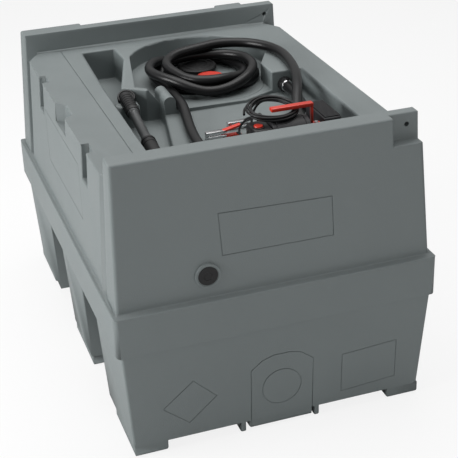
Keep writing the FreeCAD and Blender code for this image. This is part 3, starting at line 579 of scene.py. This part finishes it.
TAIL = (
    (-0.061, 0.150, 0.652), (-0.054, 0.112, 0.652), (-0.0515, 0.074, 0.652), (-0.0515, 0.034, 0.652),
    (-0.053, -0.010, 0.650), (-0.063, -0.068, 0.645), (-0.075, -0.134, 0.6425), (-0.084, -0.200, 0.642),
    (-0.088, -0.262, 0.643), (-0.085, -0.316, 0.644), (-0.087, -0.360, 0.644), (-0.098, -0.396, 0.6435),
    (-0.123, -0.424, 0.6435), (-0.158, -0.433, 0.6435), (-0.188, -0.416, 0.640), (-0.204, -0.388, 0.637),
    (-0.2051, -0.3625, 0.6331))
SUCTION = (
    (0.247, 0.0157, 0.652), (0.247, -0.032, 0.652), (0.238, -0.084, 0.653), (0.226, -0.140, 0.655),
    (0.226, -0.1957, 0.655))
CABLE_START = (
    (0.038, -0.2976, 0.664), (0.0385, -0.277, 0.667), (0.0425, -0.260, 0.682),
    (0.050, -0.2485, 0.702), (0.0625, -0.2415, 0.718))
RED_LEAD = (
    (0.0205, -0.288, 0.707), (0.012, -0.272, 0.689), (0.011, -0.258, 0.667), (0.020, -0.242, 0.650),
    (0.028, -0.222, 0.642), (0.027, -0.200, 0.638))
BLACK_LEAD = (
    (0.0165, -0.2838, 0.718), (0.024, -0.2605, 0.720), (0.038, -0.240, 0.719),
    (0.053, -0.221, 0.708), (0.066, -0.204, 0.690), (0.080, -0.190, 0.668), (0.091, -0.178, 0.648),
    (0.0965, -0.168, 0.6345), (0.098, -0.158, 0.6325))
# Coil of the battery cable: turns and bundle turns in degrees, lengths in metres
COIL_CENTRE = (0.084, -0.292)
COIL_HEIGHT = 0.7259
COIL_RADIUS = 0.055
COIL_LEAN = 0.007
COIL_START = 96.0
COIL_SWEEP = 1700.5
COIL_POINTS = 71
BUNDLE_RADII = (0.0062, 0.0053)
BUNDLE_START = -90.0
BUNDLE_RATE = -0.4


def round_point(centre, angle, reach, height):
    """Point at an angle in radians round an upright axis."""
    return (centre[0] + reach * math.cos(angle), centre[1] + reach * math.sin(angle), height)


def cord_curve(name, points, diameter, material, slot, *nodes):
    """A round cord on one smooth open spline."""
    curve = bpy.data.curves.new(name, "CURVE")
    curve.dimensions = "3D"
    curve.resolution_u = 8
    curve.bevel_depth = 1.0
    curve.bevel_resolution = 5
    curve.use_fill_caps = True
    line = curve.splines.new("NURBS")
    line.points.add(len(points) - 1)
    for place, point in zip(points, line.points):
        point.co = (*place, 1.0)
        point.radius = diameter / 2
    line.order_u = 3
    line.use_endpoint_u = True
    curve.materials.append(material)
    made = bpy.data.objects.new(name, curve)
    bpy.context.scene.collection.objects.link(made)
    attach(made, "tank")
    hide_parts(*nodes)
    return made


class TANK_OT_hoses(bpy.types.Operator):
    """Delivery hose in its loose loops, and the short suction hose"""
    bl_idname = "tank.hoses"
    bl_label = "Hoses"

    def execute(self, context):
        diameter = context.scene.tank_hoses.hose
        loops = [round_point(HOSE_CENTRE, math.radians(angle), radius * LOOP_SPREAD / 1000, height / 1000)
                 for angle, radius, height in LOOPS]
        hose = cord_curve("delivery_hose", [*FEED, *loops, *TAIL], diameter, finish("hose_rubber"),
                          "black_rubber", "feed_hose", "hose_coil", "nozzle_hose")
        short = cord_curve("inlet_hose", SUCTION, diameter, finish("hose_rubber"), "black_rubber",
                           "suction_hose")
        return {"FINISHED"}


class TANK_OT_cables(bpy.types.Operator):
    """Battery cable: its coil on the pump and the two leads to the clips"""
    bl_idname = "tank.cables"
    bl_label = "Battery cable"

    def execute(self, context):
        diameter = context.scene.tank_hoses.cable
        cable = cord_curve("battery_cable", [*CABLE_START, *self.coil(), *RED_LEAD], diameter,
                           finish("cable_rubber"), "cable_rubber", "switch_lead", "cable_coil", "red_lead")
        black = cord_curve("black_clip_lead", BLACK_LEAD, diameter, finish("cable_rubber"), "cable_rubber",
                           "black_lead")
        return {"FINISHED"}

    def coil(self):
        """Loose turns that lie one over another, each shifted round the bundle, higher at the rear"""
        points = []
        for i in range(COIL_POINTS + 1):
            done = COIL_SWEEP * i / COIL_POINTS
            turn = math.radians(COIL_START - done)
            bundle = math.radians(BUNDLE_START + BUNDLE_RATE * done)
            sway = 0.0025 * math.cos(2 * turn + 0.6) + 0.0015 * math.cos(3 * turn + 2.0)
            reach = COIL_RADIUS + BUNDLE_RADII[0] * math.cos(bundle) + sway
            height = COIL_HEIGHT + BUNDLE_RADII[1] * math.sin(bundle) + COIL_LEAN * math.sin(turn)
            points.append(round_point(COIL_CENTRE, turn, reach, height))
        return points


# Fittings of the tank
CAP_RIBS = 32


class TANK_OT_filler(bpy.types.Operator):
    """Screw cap with its finger ribs, and the red-topped level gauge"""
    bl_idname = "tank.filler"
    bl_label = "Filler cap and gauge"

    def execute(self, context):
        low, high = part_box("filler_cap")
        radius = (high.x - low.x) / 2
        place, top = standing("filler_cap")
        bm = turned([(0, 0.0066), (0.0464, 0.0066), (0.0464, 0.0), (radius - 0.0012, 0.0),
                     (radius, 0.0012), (radius, top - 0.005), (radius - 0.003, top - 0.0022),
                     (0.046, top - 0.0016), (0.0445, top - 0.0030), (0.040, top - 0.0030),
                     (0.0385, top - 0.0014), (0.030, top - 0.0010), (0.029, top - 0.0022),
                     (0.0255, top - 0.0022), (0.0245, top - 0.0008), (0.0045, top - 0.0006),
                     (0.0035, top), (0.0, top)], place, 96)
        for i in range(CAP_RIBS):
            add_block(bm, (radius - 0.0015, -0.0016, 0.0012), (radius - 0.0001, 0.0016, top - 0.0046),
                      0.0005, 1, place @ Matrix.Rotation(2 * math.pi * i / CAP_RIBS, 4, "Z"))
        piece("filler_cap_dressed", bm, "black_plastic", "filler_cap", body="filler_cap")
        place, top = standing("filler_neck")
        bm = turned([(0.0402, 0.0), (0.0402, top - 0.001), (0.041, top), (0.0428, top),
                     (0.0436, top - 0.0012), (0.0436, top - 0.003), (0.0445, top - 0.004),
                     (0.0436, top - 0.005), (0.0436, top - 0.007), (0.0458, top - 0.009),
                     (0.046, 0.0), (0.0402, 0.0)], place, 72)
        piece("filler_neck_dressed", bm, "tank_plastic", "filler_neck")
        place, top = standing("gauge_base")
        bm = turned([(0, 0), (0.040, 0), (0.040, top - 0.0015), (0.0385, top), (0, top)], place, 72)
        piece("gauge_body", bm, "black_plastic", "gauge_base")
        place, top = standing("gauge_cover")
        bm = turned([(0, 0), (0.037, 0), (0.037, top - 0.003), (0.0352, top - 0.001),
                     (0.032, top - 0.0006), (0.0312, top - 0.0018), (0.0272, top - 0.0018),
                     (0.0262, top - 0.0002), (0.0, top)], place, 72)
        piece("gauge_top", bm, "red_plastic", "gauge_cover")
        return {"FINISHED"}


class TANK_OT_plug(bpy.types.Operator):
    """Side plug: a flanged disc with a dark centre"""
    bl_idname = "tank.plug"
    bl_label = "Side plug"

    def execute(self, context):
        low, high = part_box("side_plug")
        centre = ((low.x + high.x) / 2, high.y, (low.z + high.z) / 2)
        place = Matrix.Translation(centre) @ Matrix.Rotation(math.radians(90), 4, "X")
        depth = high.y - low.y
        bm = turned([(0, 0), (0.031, 0), (0.031, depth - 0.0012), (0.0298, depth), (0.0262, depth),
                     (0.0250, depth - 0.0015), (0, depth - 0.0015)], place, 72)
        piece("side_plug_rim", bm, "tank_plastic", "side_plug")
        bm = turned([(0, 0), (0.0236, 0), (0.0236, depth - 0.001), (0.0226, depth), (0.011, depth),
                     (0.010, depth - 0.0012), (0, depth - 0.0012)], place, 72)
        piece("side_plug_centre", bm, "black_plastic", slot="plug_plastic")
        return {"FINISHED"}


# Nozzle: its axis, the knob on its end, and the rings of its grip
NOZZLE_TOP = (-0.186, 0.069, 0.669)
NOZZLE_TIP = (-0.205, -0.338, 0.634)
KNOB = (-0.185, 0.060, 0.674)
KNOB_AXIS = (-0.12, -0.5, 0.85)
GRIP_RINGS = 6
GRIP_PITCH = 0.0115


class TANK_OT_nozzle(bpy.types.Operator):
    """Delivery nozzle in its cradle, spout to the rear, under its round protecting sleeve"""
    bl_idname = "tank.nozzle"
    bl_label = "Nozzle"

    def execute(self, context):
        place = axis_place(NOZZLE_TOP, NOZZLE_TIP)
        bm = turned([(0, 0.002), (0.0060, 0.002), (0.0066, 0.0), (0.0092, 0.0), (0.0098, 0.0020),
                     (0.0125, 0.0024), (0.0140, 0.0004), (0.0160, 0.0004), (0.0170, 0.0016),
                     (0.0170, 0.012), (0, 0.012)], place, 64)
        add_turned(bm, [(0, -0.020), (0.0200, -0.020), (0.0232, -0.014), (0.0235, -0.002), (0.0222, 0.0006),
                        (0.0190, 0.0010), (0.0180, -0.0010), (0.0130, -0.0010), (0.0120, 0.0012),
                        (0.0085, 0.0012), (0.0075, -0.0008), (0, -0.0008)],
                   axis_place(KNOB, Vector(KNOB) + Vector(KNOB_AXIS)), 64)
        piece("nozzle_end", bm, "black_plastic", "nozzle_end_cap", slot="black_rubber")
        grip = [(0, 0.012), (0.0172, 0.012), (0.018, 0.013)]
        for i in range(GRIP_RINGS):
            start = 0.020 + GRIP_PITCH * i
            grip += [(0.018, start), (0.0169, start + 0.0008), (0.0169, start + 0.0036),
                     (0.018, start + 0.0044)]
        grip += [(0.018, 0.0935), (0.0168, 0.096), (0, 0.096)]
        piece("nozzle_grip", turned(grip, place, 64), "black_plastic", "nozzle_sleeve", slot="black_rubber")
        bm = turned([(0, 0.096), (0.0155, 0.096), (0.0155, 0.104), (0.0128, 0.107), (0.0120, 0.112),
                     (0.0120, 0.236), (0.0135, 0.240), (0.0145, 0.258), (0, 0.258)], place, 64)
        piece("nozzle_tube", bm, "worn_metal", "nozzle_spout", slot="nozzle_grey")
        bm = turned([(0, 0.258), (0.0165, 0.258), (0.019, 0.2595), (0.019, 0.266), (0.0176, 0.2675),
                     (0.0176, 0.2755), (0.019, 0.277), (0.019, 0.2825), (0.0175, 0.284), (0, 0.284)],
                    place, 64)
        piece("nozzle_ring", bm, "black_plastic", "nozzle_collar")
        bm = turned([(0, 0.284), (0.0180, 0.284), (0.0185, 0.288), (0.0180, 0.372), (0.0178, 0.396),
                     (0.0165, 0.4085), (0, 0.4095)], place, 64)
        piece("nozzle_handle", bm, "black_plastic", "nozzle_body")
        start = Vector(NOZZLE_TIP)
        back = (start - Vector(NOZZLE_TOP)).normalized()
        bm = turned([(0, 0), (0.0155, 0), (0.017, 0.0012), (0.017, 0.019), (0.0162, 0.0205),
                     (0.0150, 0.024), (0, 0.024)], axis_place(start, start + back), 48)
        piece("hose_ferrule_dressed", bm, "brushed_steel", "hose_ferrule", slot="chrome")
        return {"FINISHED"}


# Pump kit
MOTOR_Y, MOTOR_Z, MOTOR_RADIUS = -0.330, 0.6735, 0.040
TIE_ROD_Y, TIE_ROD_Z, TIE_ROD_RADIUS = 0.0375, 0.0105, 0.0026
COVER_RIBS = 17
RIB_MARGIN = 0.005
RIB_SHARE = 0.55
# Place and length of the two hose tails
TAILS = (((0.183, -0.286, 0.657), 0.022), ((0.226, -0.222, 0.655), 0.026))


class TANK_OT_pump(bpy.types.Operator):
    """Pump on its plate: motor, case, ribbed cover and hose tails"""
    bl_idname = "tank.pump"
    bl_label = "Pump"

    def execute(self, context):
        self.motor()
        low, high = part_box("pump_case")
        bm = bmesh.new()
        add_block(bm, low, high, 0.005, 3)
        for y in (low.y + 0.010, high.y - 0.010):
            add_turned(bm, [(0, 0), (0.0045, 0), (0.0045, 0.004), (0, 0.004)],
                       axis_place((low.x - 0.0038, y, low.z + 0.009), (low.x, y, low.z + 0.009)), 6)
        piece("pump_housing", bm, "pump_paint", "pump_case")
        low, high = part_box("pump_cover")
        bm = bmesh.new()
        add_block(bm, low, (high.x, high.y, high.z - 0.003), 0.005, 3)
        pitch = (high.y - low.y - 2 * RIB_MARGIN) / COVER_RIBS
        for i in range(COVER_RIBS):
            y = low.y + RIB_MARGIN + pitch * i
            add_block(bm, (low.x + 0.003, y, high.z - 0.004), (high.x - 0.003, y + pitch * RIB_SHARE, high.z),
                      0.0006, 1)
        piece("ribbed_cover", bm, "pump_paint", "pump_cover")
        low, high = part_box("pump_plate")
        bm = bmesh.new()
        add_block(bm, low, high, 0.0012)
        for x in (low.x + 0.012, high.x - 0.012):
            for y in (low.y + 0.010, high.y - 0.010):
                add_turned(bm, [(0, 0), (0.0050, 0), (0.0055, 0.0006), (0.0055, 0.0036), (0.0048, 0.0042),
                                (0, 0.0042)], Matrix.Translation((x, y, high.z)), 6)
        piece("base_plate", bm, "brushed_steel", "pump_plate", slot="pump_paint")
        bm = bmesh.new()
        for (x, y, z), reach in TAILS:
            add_turned(bm, [(0, 0), (0.0125, 0), (0.0125, 0.004), (0.0165, 0.0045), (0.017, 0.006),
                            (0.017, reach - 0.003), (0.0163, reach), (0, reach)],
                       axis_place((x, y, z), (x, y + 0.1, z)), 48)
        piece("hose_tails", bm, "brushed_steel", "hose_barbs", slot="black_plastic")
        return {"FINISHED"}

    def motor(self):
        low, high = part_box("pump_motor")
        length, radius = high.x - low.x, MOTOR_RADIUS
        bm = turned([(0, 0), (radius - 0.007, 0), (radius - 0.003, 0.0012), (radius - 0.001, 0.004),
                     (radius - 0.001, 0.010), (radius - 0.0022, 0.011), (radius - 0.0022, 0.0125),
                     (radius, 0.0135), (radius, length - 0.0135), (radius - 0.0022, length - 0.0125),
                     (radius - 0.0022, length - 0.011), (radius - 0.001, length - 0.010),
                     (radius - 0.001, length), (0, length)],
                    axis_place((low.x, MOTOR_Y, MOTOR_Z), (high.x, MOTOR_Y, MOTOR_Z)), 96)
        add_block(bm, (low.x + 0.014, MOTOR_Y - 0.024, low.z),
                  (high.x - 0.014, MOTOR_Y + 0.024, MOTOR_Z - 0.020), 0.003)
        for side in (-1, 1):
            y, z = MOTOR_Y + side * TIE_ROD_Y, MOTOR_Z + TIE_ROD_Z
            add_turned(bm, [(0, 0), (TIE_ROD_RADIUS, 0), (TIE_ROD_RADIUS, length - 0.002),
                            (0, length - 0.002)], axis_place((low.x + 0.001, y, z), (high.x, y, z)), 16)
        piece("motor", bm, "pump_paint", "pump_motor")


class TANK_OT_switch(bpy.types.Operator):
    """Switch box with its red rocker in a black bezel"""
    bl_idname = "tank.switch"
    bl_label = "Switch"

    def execute(self, context):
        low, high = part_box("switch_box")
        rocker_low, rocker_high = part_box("power_switch")
        centre = (rocker_low + rocker_high) / 2
        box = bmesh.new()
        add_block(box, low, high, 0.004, 3)
        hole = turned([(0, 0), (0.012, 0), (0.012, 0.01), (0, 0.01)],
                      Matrix.Translation((centre.x, centre.y, high.z - 0.0055)), 64)
        bm = subtracted(as_object("switch box body", box), as_object("switch hole", hole))
        add_ring(bm, (centre.x, centre.y, high.z), 0.0121, 0.0165, 0.0018, 64)
        piece("switch_housing", bm, "black_plastic", "switch_box")
        place, top = standing("power_switch")
        bm = turned([(0, 0), (0.011, 0), (0.011, top - 0.0022), (0.0102, top - 0.0008),
                     (0.006, top - 0.0012), (0, top - 0.0016)], place, 64)
        piece("rocker", bm, "red_plastic", "power_switch", body="power_switch")
        return {"FINISHED"}


# Height of the lever's hub, and its bar's sizes
HUB_HEIGHT = 0.6824
RISER_INSET = 0.024
PLATE_THICKNESS = 0.004
RISER_HALF, BAR_HALF = 0.007, 0.009


class TANK_OT_valve(bpy.types.Operator):
    """Bypass valve: its stem and the red cranked lever"""
    bl_idname = "tank.valve"
    bl_label = "Valve lever"

    def execute(self, context):
        low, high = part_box("valve_stem")
        lever_low, lever_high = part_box("valve_lever")
        x, y = (low.x + high.x) / 2, (low.y + high.y) / 2
        place, top = standing("valve_stem")
        bm = turned([(0, 0), (0.012, 0), (0.012, 0.005), (0.011, 0.006), (0.005, 0.006), (0.005, 0.0124),
                     (0.0042, top), (0, top)], place, 48)
        piece("stem", bm, "brushed_steel", "valve_stem", slot="steel")
        start = lever_high.x - RISER_INSET
        end = start + PLATE_THICKNESS
        bm = bmesh.new()
        add_ring(bm, (x, y, HUB_HEIGHT), 0.0054, 0.010, PLATE_THICKNESS)
        add_block(bm, (start, y - RISER_HALF, HUB_HEIGHT),
                  (x - 0.0056, y + RISER_HALF, HUB_HEIGHT + PLATE_THICKNESS), 0.001)
        add_block(bm, (start, y - RISER_HALF, HUB_HEIGHT + 0.0005),
                  (end, y + RISER_HALF, lever_high.z - 0.001), 0.001)
        add_block(bm, (lever_low.x, y - BAR_HALF, lever_high.z - 0.0065),
                  (end, y + BAR_HALF, lever_high.z + 0.003), 0.002)
        piece("lever", bm, "red_plastic", "valve_lever", body="valve_lever")
        return {"FINISHED"}


NUT_RIBS = 16


class TANK_OT_union(bpy.types.Operator):
    """Union on the fitting block: ribbed black nut and a bright ring"""
    bl_idname = "tank.union"
    bl_label = "Suction union"

    def execute(self, context):
        low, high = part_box("suction_nut")
        x, z = (low.x + high.x) / 2, (low.z + high.z) / 2
        place = axis_place((x, high.y, z), (x, low.y, z))
        length = high.y - low.y
        bm = turned([(0, 0), (0.0185, 0), (0.0185, length - 0.0015), (0.017, length), (0, length)], place, 64)
        for i in range(NUT_RIBS):
            add_block(bm, (0.0175, -0.0018, 0.0005), (0.0198, 0.0018, length - 0.002), 0.0006, 1,
                      place @ Matrix.Rotation(2 * math.pi * i / NUT_RIBS, 4, "Z"))
        piece("union_nut", bm, "black_plastic", "suction_nut")
        low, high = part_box("suction_ring")
        bm = turned([(0, 0), (0.0152, 0), (0.016, 0.001), (0.016, 0.0065), (0.0152, 0.008), (0, 0.008)],
                    axis_place((x, high.y, z), (x, low.y, z)), 64)
        piece("union_ring", bm, "bright_metal", "suction_ring", slot="chrome")
        return {"FINISHED"}


# Clips: where each pair of jaws meets, and sizes along a clip from its tip
CLIPS = (("red", (-0.053, -0.192, 0.638)), ("black", (0.018, -0.150, 0.638)))
JAW_HALF = 0.007
JAW_TOP = 0.0095
CLIP_PIVOT = Vector((0.044, 0, 0.010))
UPPER_GRIP_TILT = -13.0
TEETH = 9
TOOTH_PITCH = 0.004


class TANK_OT_clips(bpy.types.Operator):
    """The two battery clips: bright toothed jaws and coloured grips"""
    bl_idname = "tank.clips"
    bl_label = "Battery clips"

    def execute(self, context):
        for colour, tip in CLIPS:
            self.half(colour, "upper", 1, tip, colour + "_clip_upper", UPPER_GRIP_TILT)
            self.half(colour, "lower", -1, tip, "tank", 0.0)
        return {"FINISHED"}

    def half(self, colour, half, flip, tip, body, tilt):
        """One jaw and its grip, made as an upper half and mirrored for the lower one"""
        place = Matrix.Translation(tip) @ Matrix.Diagonal((1, 1, flip, 1))
        node_name = colour + "_clip_" + half
        bm = bmesh.new()
        add_block(bm, (0.0, -JAW_HALF, 0.0002), (0.005, JAW_HALF, JAW_TOP), 0.0008, 2)
        add_block(bm, (0.0, -JAW_HALF, 0.0070), (0.060, JAW_HALF, 0.0100), 0.0008, 2)
        for side in (-0.0064, 0.0064):
            add_block(bm, (0.003, side - 0.0006, 0.0016), (0.052, side + 0.0006, JAW_TOP), 0.0004, 1)
        for i in range(TEETH):
            start = 0.006 + TOOTH_PITCH * i
            add_block(bm, (start, -0.0062, 0.0030), (start + TOOTH_PITCH / 2, 0.0062, 0.0080), 0.0005, 1)
        bmesh.ops.transform(bm, matrix=place, verts=bm.verts)
        bmesh.ops.recalc_face_normals(bm, faces=bm.faces)
        piece(node_name + "_jaw", bm, "bright_metal", node_name, body=body, slot="chrome")
        bm = bmesh.new()
        swing = (Matrix.Translation(CLIP_PIVOT) @ Matrix.Rotation(math.radians(tilt), 4, "Y")
                 @ Matrix.Translation(-CLIP_PIVOT))
        add_block(bm, (0.040, -JAW_HALF, 0.0035), (0.092, JAW_HALF, 0.0100), 0.0024, 3, place @ swing)
        bmesh.ops.recalc_face_normals(bm, faces=bm.faces)
        piece(node_name + "_grip", bm, colour + "_plastic", body=body)


# Stage
FLOOR_SIZE = 14.0
FLOOR_GLOW = 0.85
# Name, place, aim, width, depth and power of each lamp
LAMPS = (("overhead", (0.2, 0.45, 3.1), (0, 0, 0.3), 3.0, 2.8, 76.0),
         ("left", (-3.6, -0.3, 1.5), (0, 0, 0.35), 2.2, 1.8, 128.0),
         ("front", (0.8, -4.2, 0.45), (0, 0, 0.4), 2.4, 0.6, 31.0))
# Strength of the surroundings for plain rays and for mirrored ones
AMBIENT, MIRRORED = 0.19, 0.40


class TANK_OT_stage(bpy.types.Operator):
    """Floor, soft lights and camera"""
    bl_idname = "tank.stage"
    bl_label = "Stage"

    def execute(self, context):
        scene = context.scene
        self.floor(scene)
        for lamp in LAMPS:
            self.lamp(*lamp)
        self.surroundings(scene)
        scene.view_settings.view_transform = "Standard"
        self.camera(scene, scene.tank_stage)
        return {"FINISHED"}

    def floor(self, scene):
        bm = bmesh.new()
        bmesh.ops.create_grid(bm, x_segments=1, y_segments=1, size=FLOOR_SIZE)
        floor = as_object("floor", bm)
        scene.collection.objects.link(floor)
        pale = bpy.data.materials.new("pale floor")
        pale.use_nodes = True
        tree = pale.node_tree
        shader = tree.nodes["Principled BSDF"]
        shader.inputs["Base Color"].default_value = (0.86, 0.86, 0.86, 1)
        shader.inputs["Roughness"].default_value = 0.9
        shader.inputs["Specular IOR Level"].default_value = 0.1
        glow = node(tree, "ShaderNodeEmission", in_Color=(1, 1, 1, 1), in_Strength=1.0)
        seen = node(tree, "ShaderNodeLightPath")
        share = sums(tree, "MULTIPLY", seen.outputs["Is Camera Ray"], FLOOR_GLOW)
        mix = node(tree, "ShaderNodeMixShader", {"Fac": share, 1: shader.outputs[0], 2: glow.outputs[0]})
        tree.links.new(mix.outputs[0], tree.nodes["Material Output"].inputs["Surface"])
        floor.data.materials.append(pale)

    def lamp(self, name, place, aim, width, depth, power):
        light = bpy.data.lights.new(name, "AREA")
        light.shape = "RECTANGLE"
        light.size = width
        light.size_y = depth
        light.energy = power
        made = bpy.data.objects.new(name, light)
        bpy.context.scene.collection.objects.link(made)
        away = Vector(place) - Vector(aim)
        made.matrix_world = Matrix.Translation(place) @ away.to_track_quat("Z", "Y").to_matrix().to_4x4()

    def surroundings(self, scene):
        world = bpy.data.worlds.new("studio")
        world.use_nodes = True
        tree = world.node_tree
        back = tree.nodes["Background"]
        back.inputs["Color"].default_value = (1, 1, 1, 1)
        seen = node(tree, "ShaderNodeLightPath")
        mirrored = node(tree, "ShaderNodeMapRange", {0: seen.outputs["Is Glossy Ray"]}, in_3=AMBIENT,
                        in_4=MIRRORED)
        level = sums(tree, "MAXIMUM", seen.outputs["Is Camera Ray"], mirrored.outputs[0])
        tree.links.new(level, back.inputs["Strength"])
        scene.world = world

    def camera(self, scene, settings):
        lens = bpy.data.cameras.new("camera")
        lens.sensor_width = 36.0
        lens.lens = settings.lens
        lens.clip_end = 60.0
        camera = bpy.data.objects.new("camera", lens)
        scene.collection.objects.link(camera)
        a, e = math.radians(settings.azimuth), math.radians(settings.elevation)
        back_way = Vector((math.sin(a) * math.cos(e), -math.cos(a) * math.cos(e), math.sin(e)))
        turn = (-back_way).to_track_quat("-Z", "Y").to_matrix().to_4x4()
        camera.matrix_world = (Matrix.Translation(settings.place) @ turn
                               @ Matrix.Rotation(math.radians(settings.roll), 4, "Z"))
        scene.camera = camera


STEPS = (TANK_OT_stage, TANK_OT_shell, TANK_OT_plug, TANK_OT_filler, TANK_OT_nozzle, TANK_OT_pump,
         TANK_OT_switch, TANK_OT_valve, TANK_OT_union, TANK_OT_clips, TANK_OT_hoses, TANK_OT_cables)


class TANK_PT_panel(bpy.types.Panel):
    """Sizes and colours of the tank, and a button for each piece"""
    bl_idname = "TANK_PT_panel"
    bl_label = "Diesel tank"
    bl_space_type = "VIEW_3D"
    bl_region_type = "UI"
    bl_category = "Tank"

    def draw(self, context):
        for group in (context.scene.tank_body, context.scene.tank_hoses, context.scene.tank_stage):
            for name in group.__annotations__:
                self.layout.prop(group, name)
        for step in STEPS:
            self.layout.operator(step.bl_idname)


CLASSES = (TankSettings, HoseSettings, StageSettings, *STEPS, TANK_PT_panel)


def register():
    for item in CLASSES:
        bpy.utils.register_class(item)
    bpy.types.Scene.tank_body = PointerProperty(type=TankSettings)
    bpy.types.Scene.tank_hoses = PointerProperty(type=HoseSettings)
    bpy.types.Scene.tank_stage = PointerProperty(type=StageSettings)


def unregister():
    for name in ("tank_body", "tank_hoses", "tank_stage"):
        delattr(bpy.types.Scene, name)
    for item in reversed(CLASSES):
        bpy.utils.unregister_class(item)


def main():
    register()
    for step in STEPS:
        group, name = step.bl_idname.split(".")
        getattr(getattr(bpy.ops, group), name)()
    bpy.context.view_layer.update()


if __name__ == "__main__":
    main()
